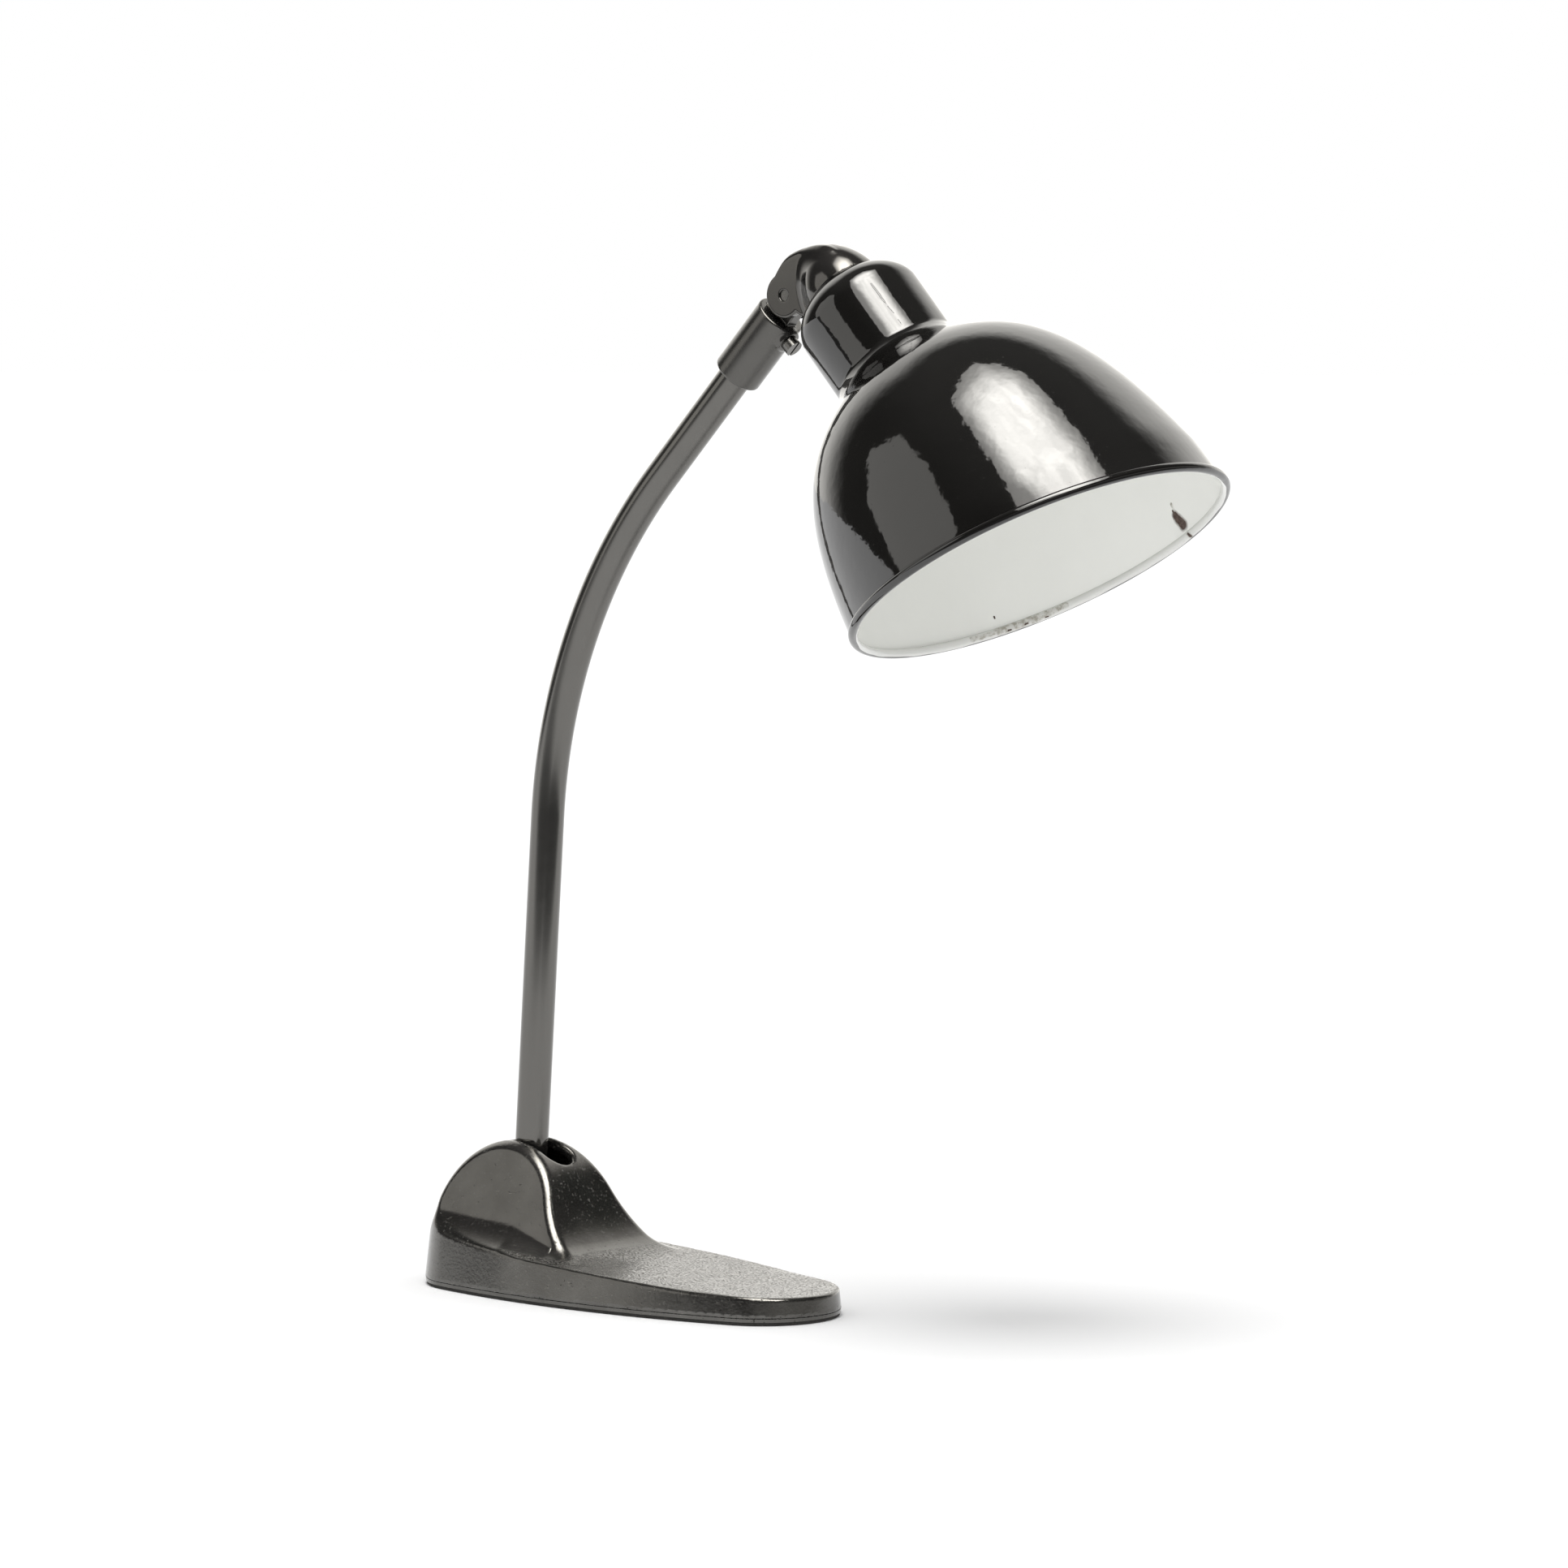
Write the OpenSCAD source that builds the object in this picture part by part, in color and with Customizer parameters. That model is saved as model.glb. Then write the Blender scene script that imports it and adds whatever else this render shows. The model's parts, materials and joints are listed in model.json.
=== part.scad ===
// Desk lamp with a boat-shaped foot, a bent tube arm and a bell shade
// Frame: +X to the front, +Z up, origin at the centre of the foot's underside

/* [Foot] */
// Length of the foot
foot_length = 238; // [225:1:250]
// Radius of the foot's rear end in plan
foot_rear_r = 39; // [36:0.5:41]
// Radius of the foot's nose in plan
foot_nose_r = 37; // [35:0.5:40]
// Radius of the foot's long flanks in plan
foot_flank_r = 388; // [370:1:460]
// Height of the foot's top over the origin
foot_mid_h = 18.8; // [18:0.1:21]
// Slope of the foot's top, falling to the front
foot_slope = 4; // [3:0.1:4.4]
// Wall thickness of the foot
foot_wall = 6.5; // [6:0.1:7]
// Thickness of the pad under the foot
pad_t = 1.4; // [1:0.1:2]
// Thickness of the steel base plate
plate_t = 1.6; // [1.2:0.1:2]

/* [Hump] */
// Distance of the arm's pivot behind the origin
pivot_back = 65.2; // [63:0.1:68]
// Height of the arm's pivot
pivot_h = 34; // [33:0.5:36]
// Radius of the hump's crown round the pivot
hump_r = 37; // [36.5:0.1:38]
// Half width of the hump at its crown
hump_top_w = 14.5; // [14:0.1:16]
// Half width of the hump at the pivot's height
hump_low_w = 26.5; // [26:0.1:28]
// Wall thickness of the hump
hump_wall = 4.5; // [4:0.1:5]
// Width of the slot for the arm
slot_w = 18; // [17.5:0.1:19]

/* [Arm] */
// Outer diameter of the arm tube
tube_d = 16; // [15.5:0.1:16.4]
// Wall thickness of the arm tube
tube_wall = 1.8; // [1.6:0.1:2]
// Forward lean of the arm's lower part
lower_lean = 3.9; // [3:0.1:5]
// Forward lean of the arm's upper part
upper_lean = 43.9; // [41:0.1:46]
// Length of the lower straight part, from the pivot
lower_length = 193.2; // [180:0.1:200]
// Radius of the arm's bend, on its centre line
bend_r = 263.3; // [240:0.1:270]
// Length of the upper straight part, to the knuckle pin
upper_length = 116.6; // [114:0.2:130]

/* [Sleeve] */
// Outer diameter of the swivel sleeve
sleeve_d = 23.2; // [22.6:0.1:24]
// Length of the swivel sleeve
sleeve_length = 38; // [36:0.2:42]
// Distance from the sleeve's top to the knuckle pin
pin_rise = 12.2; // [12:0.1:13]
// Thickness of the sleeve's tongue
tongue_t = 6.4; // [6:0.1:6.8]
// Diameter of the guide screw's head
guide_head_d = 8.2; // [7:0.1:9]

/* [Knuckle] */
// Thickness across the knuckle's two cheeks
knuckle_t = 17.4; // [17:0.1:18.4]
// Radius of the cheeks round the pin
cheek_r = 10.5; // [10:0.1:10.8]
// Diameter of the knuckle pin
pin_d = 5; // [4.6:0.1:5.2]
// Radius of the domed cap at the shade
cap_r = 17.2; // [16:0.1:18]
// Height of the domed cap above the shade
cap_h = 22; // [21:0.1:23]

/* [Shade] */
// Lean of the shade's axis from the vertical
shade_lean = 42; // [40:0.1:45]
// Outer radius of the shade's neck
neck_r = 30.6; // [30:0.1:32]
// Length of the neck, from its crown to the bell
neck_length = 49; // [47:0.5:51]
// Outer radius of the bell at its mouth
bell_r = 90.4; // [88:0.1:92]
// Distance from the crown to the centre of the mouth
shade_length = 170.5; // [166:0.5:176]
// Tilt of the mouth against the shade's axis
mouth_tilt = 13.2; // [12:0.1:14]
// Thickness of the shade's sheet
shade_t = 1.2; // [1:0.1:1.5]
// Radius of the rolled rim
rim_r = 2.2; // [2:0.1:2.6]

/* [Hidden] */
$fn = 96;

iron = [0.36, 0.35, 0.33];
dark_steel = [0.34, 0.33, 0.31];
plain_steel = [0.62, 0.62, 0.61];
brass = [0.78, 0.64, 0.36];
black_enamel = [0.11, 0.11, 0.1];
white_enamel = [0.88, 0.88, 0.86];
porcelain = [0.92, 0.91, 0.87];
felt = [0.16, 0.16, 0.15];
fibre = [0.45, 0.26, 0.16];
bakelite = [0.15, 0.1, 0.08];

eps = 0.01;
run_fit = 0.05;
slide_gap = 0.2;
plane_gap = 0.3;
cast_bottom = pad_t + plate_t;

// Plan of the foot: two end arcs joined by flank arcs that touch them
rear_x = -foot_length / 2 + foot_rear_r;
nose_x = foot_length / 2 - foot_nose_r;
span = nose_x - rear_x;
rear_reach = foot_flank_r - foot_rear_r;
nose_reach = foot_flank_r - foot_nose_r;
flank_dx = (rear_reach * rear_reach - nose_reach * nose_reach + span * span) / (2 * span);
flank_x = rear_x + flank_dx;
flank_y = sqrt(rear_reach * rear_reach - flank_dx * flank_dx);
rear_turn = atan2(flank_y, flank_dx);
nose_turn = atan2(flank_y, span - flank_dx);

function arc(cx, cy, r, a0, a1, n) =
    [for (i = [0:n]) [cx + r * cos(a0 + (a1 - a0) * i / n), cy + r * sin(a0 + (a1 - a0) * i / n)]];

// Half of the plan, from the rear tip along the -Y side to the nose tip
function plan_half(inset) = concat(
    arc(rear_x, 0, foot_rear_r - inset, 180, 180 + rear_turn, 16),
    arc(flank_x, flank_y, foot_flank_r - inset, 180 + rear_turn, 360 - nose_turn, 20),
    arc(nose_x, 0, foot_nose_r - inset, 360 - nose_turn, 360, 16)
);

// Height of the foot's top at a place along X
function top_at(x) = foot_mid_h - x * tan(foot_slope);

// Frames of the moving pieces, in their pose in the photo
pivot_x = -pivot_back;
bend_turn = upper_lean - lower_lean;
bend_start_x = pivot_x + lower_length * sin(lower_lean);
bend_start_z = pivot_h + lower_length * cos(lower_lean);
bend_end_x = bend_start_x + bend_r * (cos(lower_lean) - cos(upper_lean));
bend_end_z = bend_start_z + bend_r * (sin(upper_lean) - sin(lower_lean));
pin_x = bend_end_x + upper_length * sin(upper_lean);
pin_z = bend_end_z + upper_length * cos(upper_lean);

// The shade's crown lies ahead of and below the pin, along and across the shade's axis
crown_ahead = 23.3;
crown_below = 13.5;
crown_x = pin_x + crown_ahead * cos(shade_lean) + crown_below * sin(shade_lean);
crown_z = pin_z + crown_ahead * sin(shade_lean) - crown_below * cos(shade_lean);

module in_pivot_frame() { translate([pivot_x, 0, pivot_h]) rotate([0, lower_lean, 0]) children(); }
module in_sleeve_frame() { translate([bend_end_x, 0, bend_end_z]) rotate([0, upper_lean, 0]) children(); }
module in_pin_frame() { translate([pin_x, 0, pin_z]) children(); }
module in_shade_frame() { translate([crown_x, 0, crown_z]) rotate([0, -shade_lean, 0]) children(); }

// A rod along Y between two places
module y_rod(r, y0, y1) { translate([0, y1, 0]) rotate([90, 0, 0]) cylinder(r = r, h = y1 - y0); }
// A flat outline in the XZ plane, thickened along Y from y0 to y1
module xz_plate(y0, y1) { translate([0, y1, 0]) rotate([90, 0, 0]) linear_extrude(y1 - y0) children(); }
module ring(r_out, r_in, h) {
    difference() {
        cylinder(r = r_out, h = h);
        translate([0, 0, -1]) cylinder(r = r_in, h = h + 2);
    }
}
module slotted_head(r, h, slot) {
    difference() {
        cylinder(r = r, h = h);
        translate([-r - 1, -slot / 2, h - 1.2]) cube([2 * r + 2, slot, 2]);
    }
}

/* Foot */
module plan(inset) {
    half = plan_half(inset);
    polygon(concat(half, [for (i = [len(half) - 2:-1:1]) [half[i][0], -half[i][1]]]));
}

// All that lies under the foot's sloping top, lowered by drop
module under_top(drop) {
    xz_plate(-80, 80)
        polygon([[-160, -20], [160, -20], [160, top_at(160) - drop], [-160, top_at(-160) - drop]]);
}

module foot_block(inset, drop, bottom) {
    intersection() {
        translate([0, 0, bottom]) linear_extrude(60) plan(inset);
        under_top(drop);
    }
}

// Side view of the hump: crown arc round the pivot, front slope and its sweep onto the foot
slope_angle = 61;
front_start = slope_angle;
sweep_r = 20;
front_x = pivot_x + hump_r * sin(front_start);
front_z = pivot_h + hump_r * cos(front_start);
foot_run = (front_z - top_at(front_x)) / (tan(slope_angle) - tan(foot_slope));
foot_x = front_x + foot_run;
foot_z = top_at(foot_x);
sweep_tangent = sweep_r * tan((slope_angle - foot_slope) / 2);
sweep_x0 = foot_x - sweep_tangent * cos(slope_angle);
sweep_z0 = foot_z + sweep_tangent * sin(slope_angle);
sweep_cx = sweep_x0 + sweep_r * sin(slope_angle);
sweep_cz = sweep_z0 + sweep_r * cos(slope_angle);

function hump_side() = concat(
    [[pivot_x - hump_r - 9, 10], [pivot_x - hump_r - 9, 24]],
    arc(pivot_x - hump_r - 10, pivot_h, 10, 285, 360, 6),
    arc(pivot_x, pivot_h, hump_r, 180, 90 - front_start, 40),
    arc(sweep_cx, sweep_cz, sweep_r, 270 - slope_angle, 270 - foot_slope, 12),
    [[foot_x + sweep_tangent, 10]]
);

// Front view of the hump: leaning cheeks that sweep out onto the foot
cheek_lean = atan((hump_low_w - hump_top_w) / hump_r);
cheek_sweep_r = 11;
cheek_sweep_z = 21.5;
cheek_turn = 90 - cheek_lean;
cheek_x = hump_low_w + (pivot_h - cheek_sweep_z) * tan(cheek_lean);
cheek_tangent = cheek_sweep_r * tan(cheek_turn / 2);

function hump_half_front(sign) = [
    for (p = concat(
        [[hump_top_w - 0.5 * tan(cheek_lean), pivot_h + hump_r + 1]],
        arc(
            cheek_x + cheek_tangent, cheek_sweep_z + cheek_sweep_r, cheek_sweep_r,
            180 - cheek_lean, 270, 10
        ),
        [[cheek_x + cheek_tangent, 8]]
    )) [sign * p[0], p[1]]
];

module hump_front() {
    right = hump_half_front(1);
    left = hump_half_front(-1);
    polygon(concat(right, [for (i = [len(left) - 1:-1:0]) left[i]]));
}

module hump_block() {
    intersection() {
        xz_plate(-60, 60) polygon(hump_side());
        translate([-170, 0, 0]) rotate([90, 0, 90]) linear_extrude(240) hump_front();
        translate([0, 0, 5]) linear_extrude(90) plan(1);
    }
}

// Room for the arm's foot inside the hump
module hump_room() {
    intersection() {
        translate([pivot_x, 0, pivot_h]) y_rod(hump_r - hump_wall, -40, 40);
        rotate([90, 0, 90]) translate([0, 0, -170]) linear_extrude(240)
            polygon([
                [-hump_low_w + hump_wall, 0], [hump_low_w - hump_wall, 0],
                [hump_low_w - hump_wall, pivot_h], [hump_top_w - hump_wall, pivot_h + hump_r],
                [-hump_top_w + hump_wall, pivot_h + hump_r], [-hump_low_w + hump_wall, pivot_h]
            ]);
    }
}

// The way of the arm through the crown, from its rear stop to its front stop
slot_back = lower_lean - 3.2;
slot_front = lower_lean + 26.2;
module arm_slot() {
    translate([pivot_x, 0, pivot_h]) {
        rotate([0, slot_back, 0]) translate([0, 0, 18]) cylinder(d = slot_w, h = 40);
        rotate([0, slot_front, 0]) translate([0, 0, 18]) cylinder(d = slot_w, h = 40);
        xz_plate(-slot_w / 2 + 0.05, slot_w / 2 - 0.05) polygon([
            [18 * sin(slot_back), 18 * cos(slot_back)], [58 * sin(slot_back), 58 * cos(slot_back)],
            [60 * sin((slot_back + slot_front) / 2), 60 * cos((slot_back + slot_front) / 2)],
            [58 * sin(slot_front), 58 * cos(slot_front)], [18 * sin(slot_front), 18 * cos(slot_front)]
        ]);
    }
}

plate_screw_at = [[90, 0], [-88, 27], [-88, -27], [18, 34], [18, -34]];
bracket_screw_at = [pivot_x - 32, pivot_x + 36];
bracket_z = 10;
bracket_t = 3;
boss_r = 5.5;
plate_screw_r = 2;
plate_screw_l = 6.5;
plate_head_r = 3.7;
plate_head_h = 1.3;
bracket_screw_r = 2.5;
bracket_screw_l = 12;
bush_z = cast_bottom + 7;
bush_r = 5;

module foot_bosses() {
    intersection() {
        union() {
            for (p = plate_screw_at) translate([p[0], p[1], cast_bottom]) cylinder(r = boss_r, h = 40);
            for (x = bracket_screw_at) translate([x, 0, bracket_z + bracket_t])
                cylinder(r = boss_r, h = 40);
        }
        union() {
            foot_block(2, 1, cast_bottom);
            translate([pivot_x, 0, pivot_h]) y_rod(hump_r - 1, -12, 12);
        }
    }
}

module base_casting() {
    color(iron) difference() {
        union() {
            difference() {
                union() {
                    foot_block(0, 0, cast_bottom);
                    hump_block();
                }
                foot_block(foot_wall, foot_wall, cast_bottom - 1);
                hump_room();
            }
            foot_bosses();
        }
        arm_slot();
        for (p = plate_screw_at) translate([p[0], p[1], cast_bottom - 1])
            cylinder(r = plate_screw_r, h = plate_screw_l + 0.5);
        for (x = bracket_screw_at) translate([x, 0, bracket_z])
            cylinder(r = bracket_screw_r, h = bracket_screw_l + 0.5);
        translate([-foot_length / 2 - 5, 0, bush_z]) rotate([0, 90, 0]) {
            cylinder(r = bush_r, h = 15);
            cylinder(r = bush_r + 1.5, h = 5.8);
        }
    }
}

module base_plate() {
    color(plain_steel) difference() {
        translate([0, 0, pad_t]) linear_extrude(plate_t) plan(0.3);
        for (p = plate_screw_at) translate([p[0], p[1], pad_t - eps]) {
            cylinder(r = plate_screw_r + 0.2, h = plate_t + 1);
            cylinder(r1 = plate_head_r + 0.1, r2 = plate_screw_r + 0.2, h = plate_head_h + 0.1);
        }
        translate([block_x, 0, 0]) cylinder(r = 1.5, h = 10);
    }
}

module base_pad() { color(felt) linear_extrude(pad_t) plan(0.9); }

module plate_screws() {
    color(plain_steel) for (p = plate_screw_at) translate([p[0], p[1], pad_t]) {
        cylinder(r1 = plate_head_r, r2 = plate_screw_r, h = plate_head_h);
        cylinder(r = plate_screw_r, h = plate_screw_l);
    }
}

/* Pivot */
lug_t = 14;
lug_r = 10;
ear_in = 9;
ear_t = 3;
ear_r = 11;
bolt_r = 4;
bolt_head_r = 7.5;
bracket_w = 16;
bracket_end = 6;

module pivot_bracket() {
    color(plain_steel) difference() {
        union() {
            translate([bracket_screw_at[0] - bracket_end, -bracket_w / 2, bracket_z])
                cube([bracket_screw_at[1] - bracket_screw_at[0] + 2 * bracket_end, bracket_w, bracket_t]);
            translate([pivot_x - ear_r - 1, -ear_in - ear_t, bracket_z])
                cube([2 * (ear_r + 1), 2 * (ear_in + ear_t), bracket_t]);
            for (y = [-ear_in - ear_t, ear_in]) {
                translate([pivot_x - ear_r, y, bracket_z]) cube([2 * ear_r, ear_t, pivot_h - bracket_z]);
                translate([pivot_x, 0, pivot_h]) y_rod(ear_r, y, y + ear_t);
            }
        }
        translate([pivot_x, 0, pivot_h]) y_rod(bolt_r, -30, 30);
        for (x = bracket_screw_at) translate([x, 0, bracket_z - 1])
            cylinder(r = bracket_screw_r + 0.3, h = bracket_t + 2);
    }
}

module bracket_screws() {
    color(plain_steel) for (x = bracket_screw_at) translate([x, 0, bracket_z]) rotate([180, 0, 0]) {
        slotted_head(bracket_screw_r + 2, 3, 1.2);
        translate([0, 0, -bracket_screw_l]) cylinder(r = bracket_screw_r, h = bracket_screw_l + 0.5);
    }
}

module pivot_bolt() {
    color(plain_steel) translate([pivot_x, 0, pivot_h]) {
        y_rod(bolt_r, -ear_in - ear_t - 1, ear_in + ear_t + 7.5);
        translate([0, -ear_in - ear_t, 0]) rotate([90, 0, 0]) cylinder(r = bolt_head_r, h = 4.5, $fn = 6);
    }
}

module friction_washers() {
    color(fibre) translate([pivot_x, 0, pivot_h]) for (side = [-1, 1]) {
        difference() {
            y0 = side > 0 ? lug_t / 2 + slide_gap : -ear_in;
            y1 = side > 0 ? ear_in : -lug_t / 2 - slide_gap;
            y_rod(9.5, y0, y1);
            y_rod(bolt_r + 0.02, -20, 20);
        }
    }
}

module spring_washer() {
    color(plain_steel) translate([pivot_x, ear_in + ear_t, pivot_h]) rotate([-90, 0, 0]) difference() {
        cylinder(r1 = 8, r2 = 6, h = 1.5);
        translate([0, 0, -1]) cylinder(r = bolt_r + 0.02, h = 4);
    }
}

module pivot_nut() {
    color(plain_steel) translate([pivot_x, ear_in + ear_t + 1.5, pivot_h]) rotate([-90, 0, 0])
        difference() {
            cylinder(r = bolt_head_r, h = 5, $fn = 6);
            translate([0, 0, -1]) cylinder(r = bolt_r, h = 7);
        }
}

/* Wiring parts */
block_x = 8;
block_l = 20;
block_w = 22;
block_h = 7;
clamp_x = 6;
clamp_y = 6.5;
clamp_r = 1.5;

module terminal_block() {
    color(porcelain) difference() {
        translate([block_x - block_l / 2, -block_w / 2, cast_bottom]) cube([block_l, block_w, block_h]);
        translate([block_x, 0, 0]) cylinder(r = 1.5, h = 20);
        translate([block_x, 0, cast_bottom + 4]) cylinder(r = 3, h = 10);
        for (x = [-clamp_x, clamp_x]) for (y = [-clamp_y, clamp_y])
            translate([block_x + x, y, cast_bottom + 2]) cylinder(r = clamp_r, h = 10);
        for (y = [-clamp_y, clamp_y]) translate([block_x - block_l / 2 - 5, y, cast_bottom + 2.4])
            rotate([0, 90, 0]) cylinder(r = 1.2, h = block_l + 10);
    }
}

module clamp_screws() {
    color(brass) for (x = [-clamp_x, clamp_x]) for (y = [-clamp_y, clamp_y])
        translate([block_x + x, y, cast_bottom + 3.8]) slotted_head(clamp_r, 3.6, 0.5);
}

module block_screw() {
    color(plain_steel) translate([block_x, 0, pad_t + 0.1]) {
        cylinder(r = 1.5, h = plate_t + 4);
        translate([0, 0, plate_t + 3.9]) slotted_head(2.8, 2.2, 0.7);
    }
}

module cord_bush() {
    color(bakelite) translate([-foot_length / 2, 0, bush_z]) rotate([0, 90, 0]) difference() {
        union() {
            translate([0, 0, -2]) cylinder(r = bush_r + 1.5, h = 2.8);
            cylinder(r = bush_r, h = foot_wall + 2);
        }
        translate([0, 0, -5]) cylinder(r = 3.5, h = 20);
    }
}

/* Arm */
foot_start = 15;
plug_top = 34;
bore_r = tube_d / 2 - tube_wall;
tube_end = upper_length - pin_rise - 2.2;
guide_at = upper_length - pin_rise - 6;
groove_r = tube_d / 2 - 0.7;
guide_r = 2;
swivel_range = 60;
foot_pin_at = 25;

// The bend is drawn in by a hair where it laps into the straight parts
bend_lap = 1;
draw_in = 0.02;

module arm_bend(r) {
    translate([bend_start_x, 0, bend_start_z]) rotate([0, lower_lean, 0]) translate([bend_r, 0, 0])
        rotate([90, 0, 0]) rotate([0, 0, 180 - bend_turn]) rotate_extrude(angle = bend_turn)
            translate([bend_r, 0]) circle(r = r);
}

// The groove that the guide screw runs in, as long as the swivel needs
module guide_groove() {
    reach = swivel_range + 17;
    translate([0, 0, guide_at - guide_r - 0.2]) difference() {
        ring(tube_d / 2 + 1, groove_r, 2 * guide_r + 0.4);
        translate([0, 0, -1]) linear_extrude(10) polygon([
            [0, 0],
            [30 * cos(reach), 30 * sin(reach)], [-60, 40],
            [-60, -40], [30 * cos(reach), -30 * sin(reach)]
        ]);
    }
}

module arm_tube() {
    lower_run = lower_length - foot_start;
    color(dark_steel) difference() {
        union() {
            in_pivot_frame() translate([0, 0, foot_start]) cylinder(d = tube_d, h = lower_run + bend_lap);
            arm_bend(tube_d / 2 - draw_in);
            in_sleeve_frame() translate([0, 0, -bend_lap]) cylinder(d = tube_d, h = tube_end + bend_lap);
        }
        in_pivot_frame() translate([0, 0, foot_start - 1])
            cylinder(r = bore_r, h = lower_run + 1 + bend_lap);
        arm_bend(bore_r - draw_in);
        in_sleeve_frame() translate([0, 0, -bend_lap]) cylinder(r = bore_r, h = tube_end + 1 + bend_lap);
        in_sleeve_frame() guide_groove();
        in_pivot_frame() translate([0, 0, foot_pin_at]) y_rod(1.5, -20, 20);
    }
}

module arm_foot() {
    color(plain_steel) in_pivot_frame() difference() {
        union() {
            y_rod(lug_r, -lug_t / 2, lug_t / 2);
            intersection() {
                translate([-8, -lug_t / 2, 0]) cube([16, lug_t, foot_start]);
                cylinder(r = 9, h = foot_start);
            }
            translate([0, 0, foot_start - 3]) cylinder(r = bore_r, h = plug_top - foot_start + 3);
        }
        y_rod(bolt_r + run_fit, -20, 20);
        translate([0, 0, 9.5]) cylinder(r = 2.6, h = 40);
        translate([0, 0, 11.5]) rotate([0, 90, 0]) cylinder(r = 2.4, h = 20);
        translate([0, 0, foot_pin_at]) y_rod(1.5, -20, 20);
    }
}

module foot_pin() {
    color(plain_steel) in_pivot_frame() translate([0, 0, foot_pin_at])
        y_rod(1.5, -tube_d / 2 + 0.1, tube_d / 2 - 0.1);
}

/* Sleeve */
sleeve_low = upper_length - pin_rise - sleeve_length;
sleeve_top = upper_length - pin_rise;
tongue_half = 8;
boss_radius = 6;
boss_face = sleeve_d / 2 + 0.7;

module swivel_sleeve() {
    color(dark_steel) in_sleeve_frame() difference() {
        union() {
            translate([0, 0, sleeve_low + 1]) cylinder(d = sleeve_d, h = sleeve_length - 1);
            translate([0, 0, sleeve_low]) cylinder(d1 = sleeve_d - 2, d2 = sleeve_d, h = 1 + eps);
            translate([0, 0, guide_at]) rotate([0, 90, 0]) cylinder(r = boss_radius, h = boss_face);
            translate([0, 0, upper_length]) y_rod(tongue_half, -tongue_t / 2, tongue_t / 2);
            translate([-tongue_half, -tongue_t / 2, sleeve_top - 1])
                cube([2 * tongue_half, tongue_t, pin_rise + 1]);
        }
        translate([0, 0, sleeve_low - 1])
            cylinder(r = tube_d / 2 + run_fit, h = tube_end - sleeve_low + 1.2);
        translate([0, 0, upper_length]) y_rod(pin_d / 2 + run_fit, -20, 20);
        translate([5.1, 0, sleeve_top - 5]) cylinder(r = 1.6, h = 30);
        translate([0, 0, guide_at]) rotate([0, 90, 0]) cylinder(r = guide_r, h = 30);
    }
}

module guide_screw() {
    head_x = boss_face;
    color(plain_steel) in_sleeve_frame() translate([0, 0, guide_at]) rotate([0, 90, 0]) {
        translate([0, 0, groove_r + slide_gap]) cylinder(r = guide_r, h = head_x - groove_r);
        translate([0, 0, head_x]) slotted_head(guide_head_d / 2, 4.4, 1.1);
    }
}

/* Knuckle */
fork_gap = tongue_t + 2 * (slide_gap + 0.9);
fork_r = 12.3;

// Outline of the cheeks, from the round end at the pin to the cap
module cheek_outline() {
    lap_r = cheek_r - 0.2;
    circle(r = cheek_r);
    polygon([
        [-lap_r * sin(40), lap_r * cos(40)], [-4, 11.4], [2.6, 16.6], [7.5, 20], [13.5, 22.5], [20, 23.2],
        [30, 18], [34, 4], [26, -8], [14, -10.5], [lap_r * sin(38.6), -lap_r * cos(38.6)]
    ]);
}

function cap_radius(u) = cap_r * pow(cos(90 * (u + 4) / (cap_h + 4)), 0.85);

module knuckle_cap() {
    rotate_extrude() polygon(concat(
        [[0, -4]],
        [for (i = [0:24]) [cap_radius(-4 + (cap_h + 4) * i / 24), -4 + (cap_h + 4) * i / 24]]
    ));
}

module knuckle() {
    color(dark_steel) difference() {
        union() {
            in_pin_frame() xz_plate(-knuckle_t / 2, knuckle_t / 2) cheek_outline();
            in_shade_frame() knuckle_cap();
        }
        in_shade_frame() shade_form(0.02);
        in_pin_frame() y_rod(fork_r, -fork_gap / 2, fork_gap / 2);
        in_pin_frame() y_rod(pin_d / 2, -20, 20);
        in_shade_frame() translate([0, 0, -10]) cylinder(r = nipple_r, h = 10 + nipple_top);
        in_shade_frame() translate([0, 0, -10]) cylinder(r = 3, h = 10 + 12);
        in_shade_frame() translate([-20, 0, 9]) rotate([0, 90, 0]) cylinder(r = 2.4, h = 20);
    }
}

module knuckle_pin() {
    color(plain_steel) in_pin_frame() y_rod(pin_d / 2, -knuckle_t / 2 + 0.9, knuckle_t / 2 - 0.9);
}

module knuckle_washers() {
    color(brass) in_pin_frame() for (side = [-1, 1]) difference() {
        y0 = side > 0 ? tongue_t / 2 + slide_gap : -fork_gap / 2;
        y1 = side > 0 ? fork_gap / 2 : -tongue_t / 2 - slide_gap;
        y_rod(7, y0, y1);
        y_rod(pin_d / 2 + 0.02, -20, 20);
    }
}

/* Shade */
crown_h = 20;
fillet_r = 5;
bell_rise = 30;
shoulder_pull = 26;
mouth_pull = 109;
mouth_flare = 6.7;
shoulder_r = neck_r + fillet_r * (1 - cos(bell_rise));
shoulder_s = neck_length + fillet_r * sin(bell_rise);

function bezier(p0, p1, p2, p3, t) =
    pow(1 - t, 3) * p0 + 3 * t * pow(1 - t, 2) * p1 + 3 * t * t * (1 - t) * p2 + t * t * t * p3;

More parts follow.
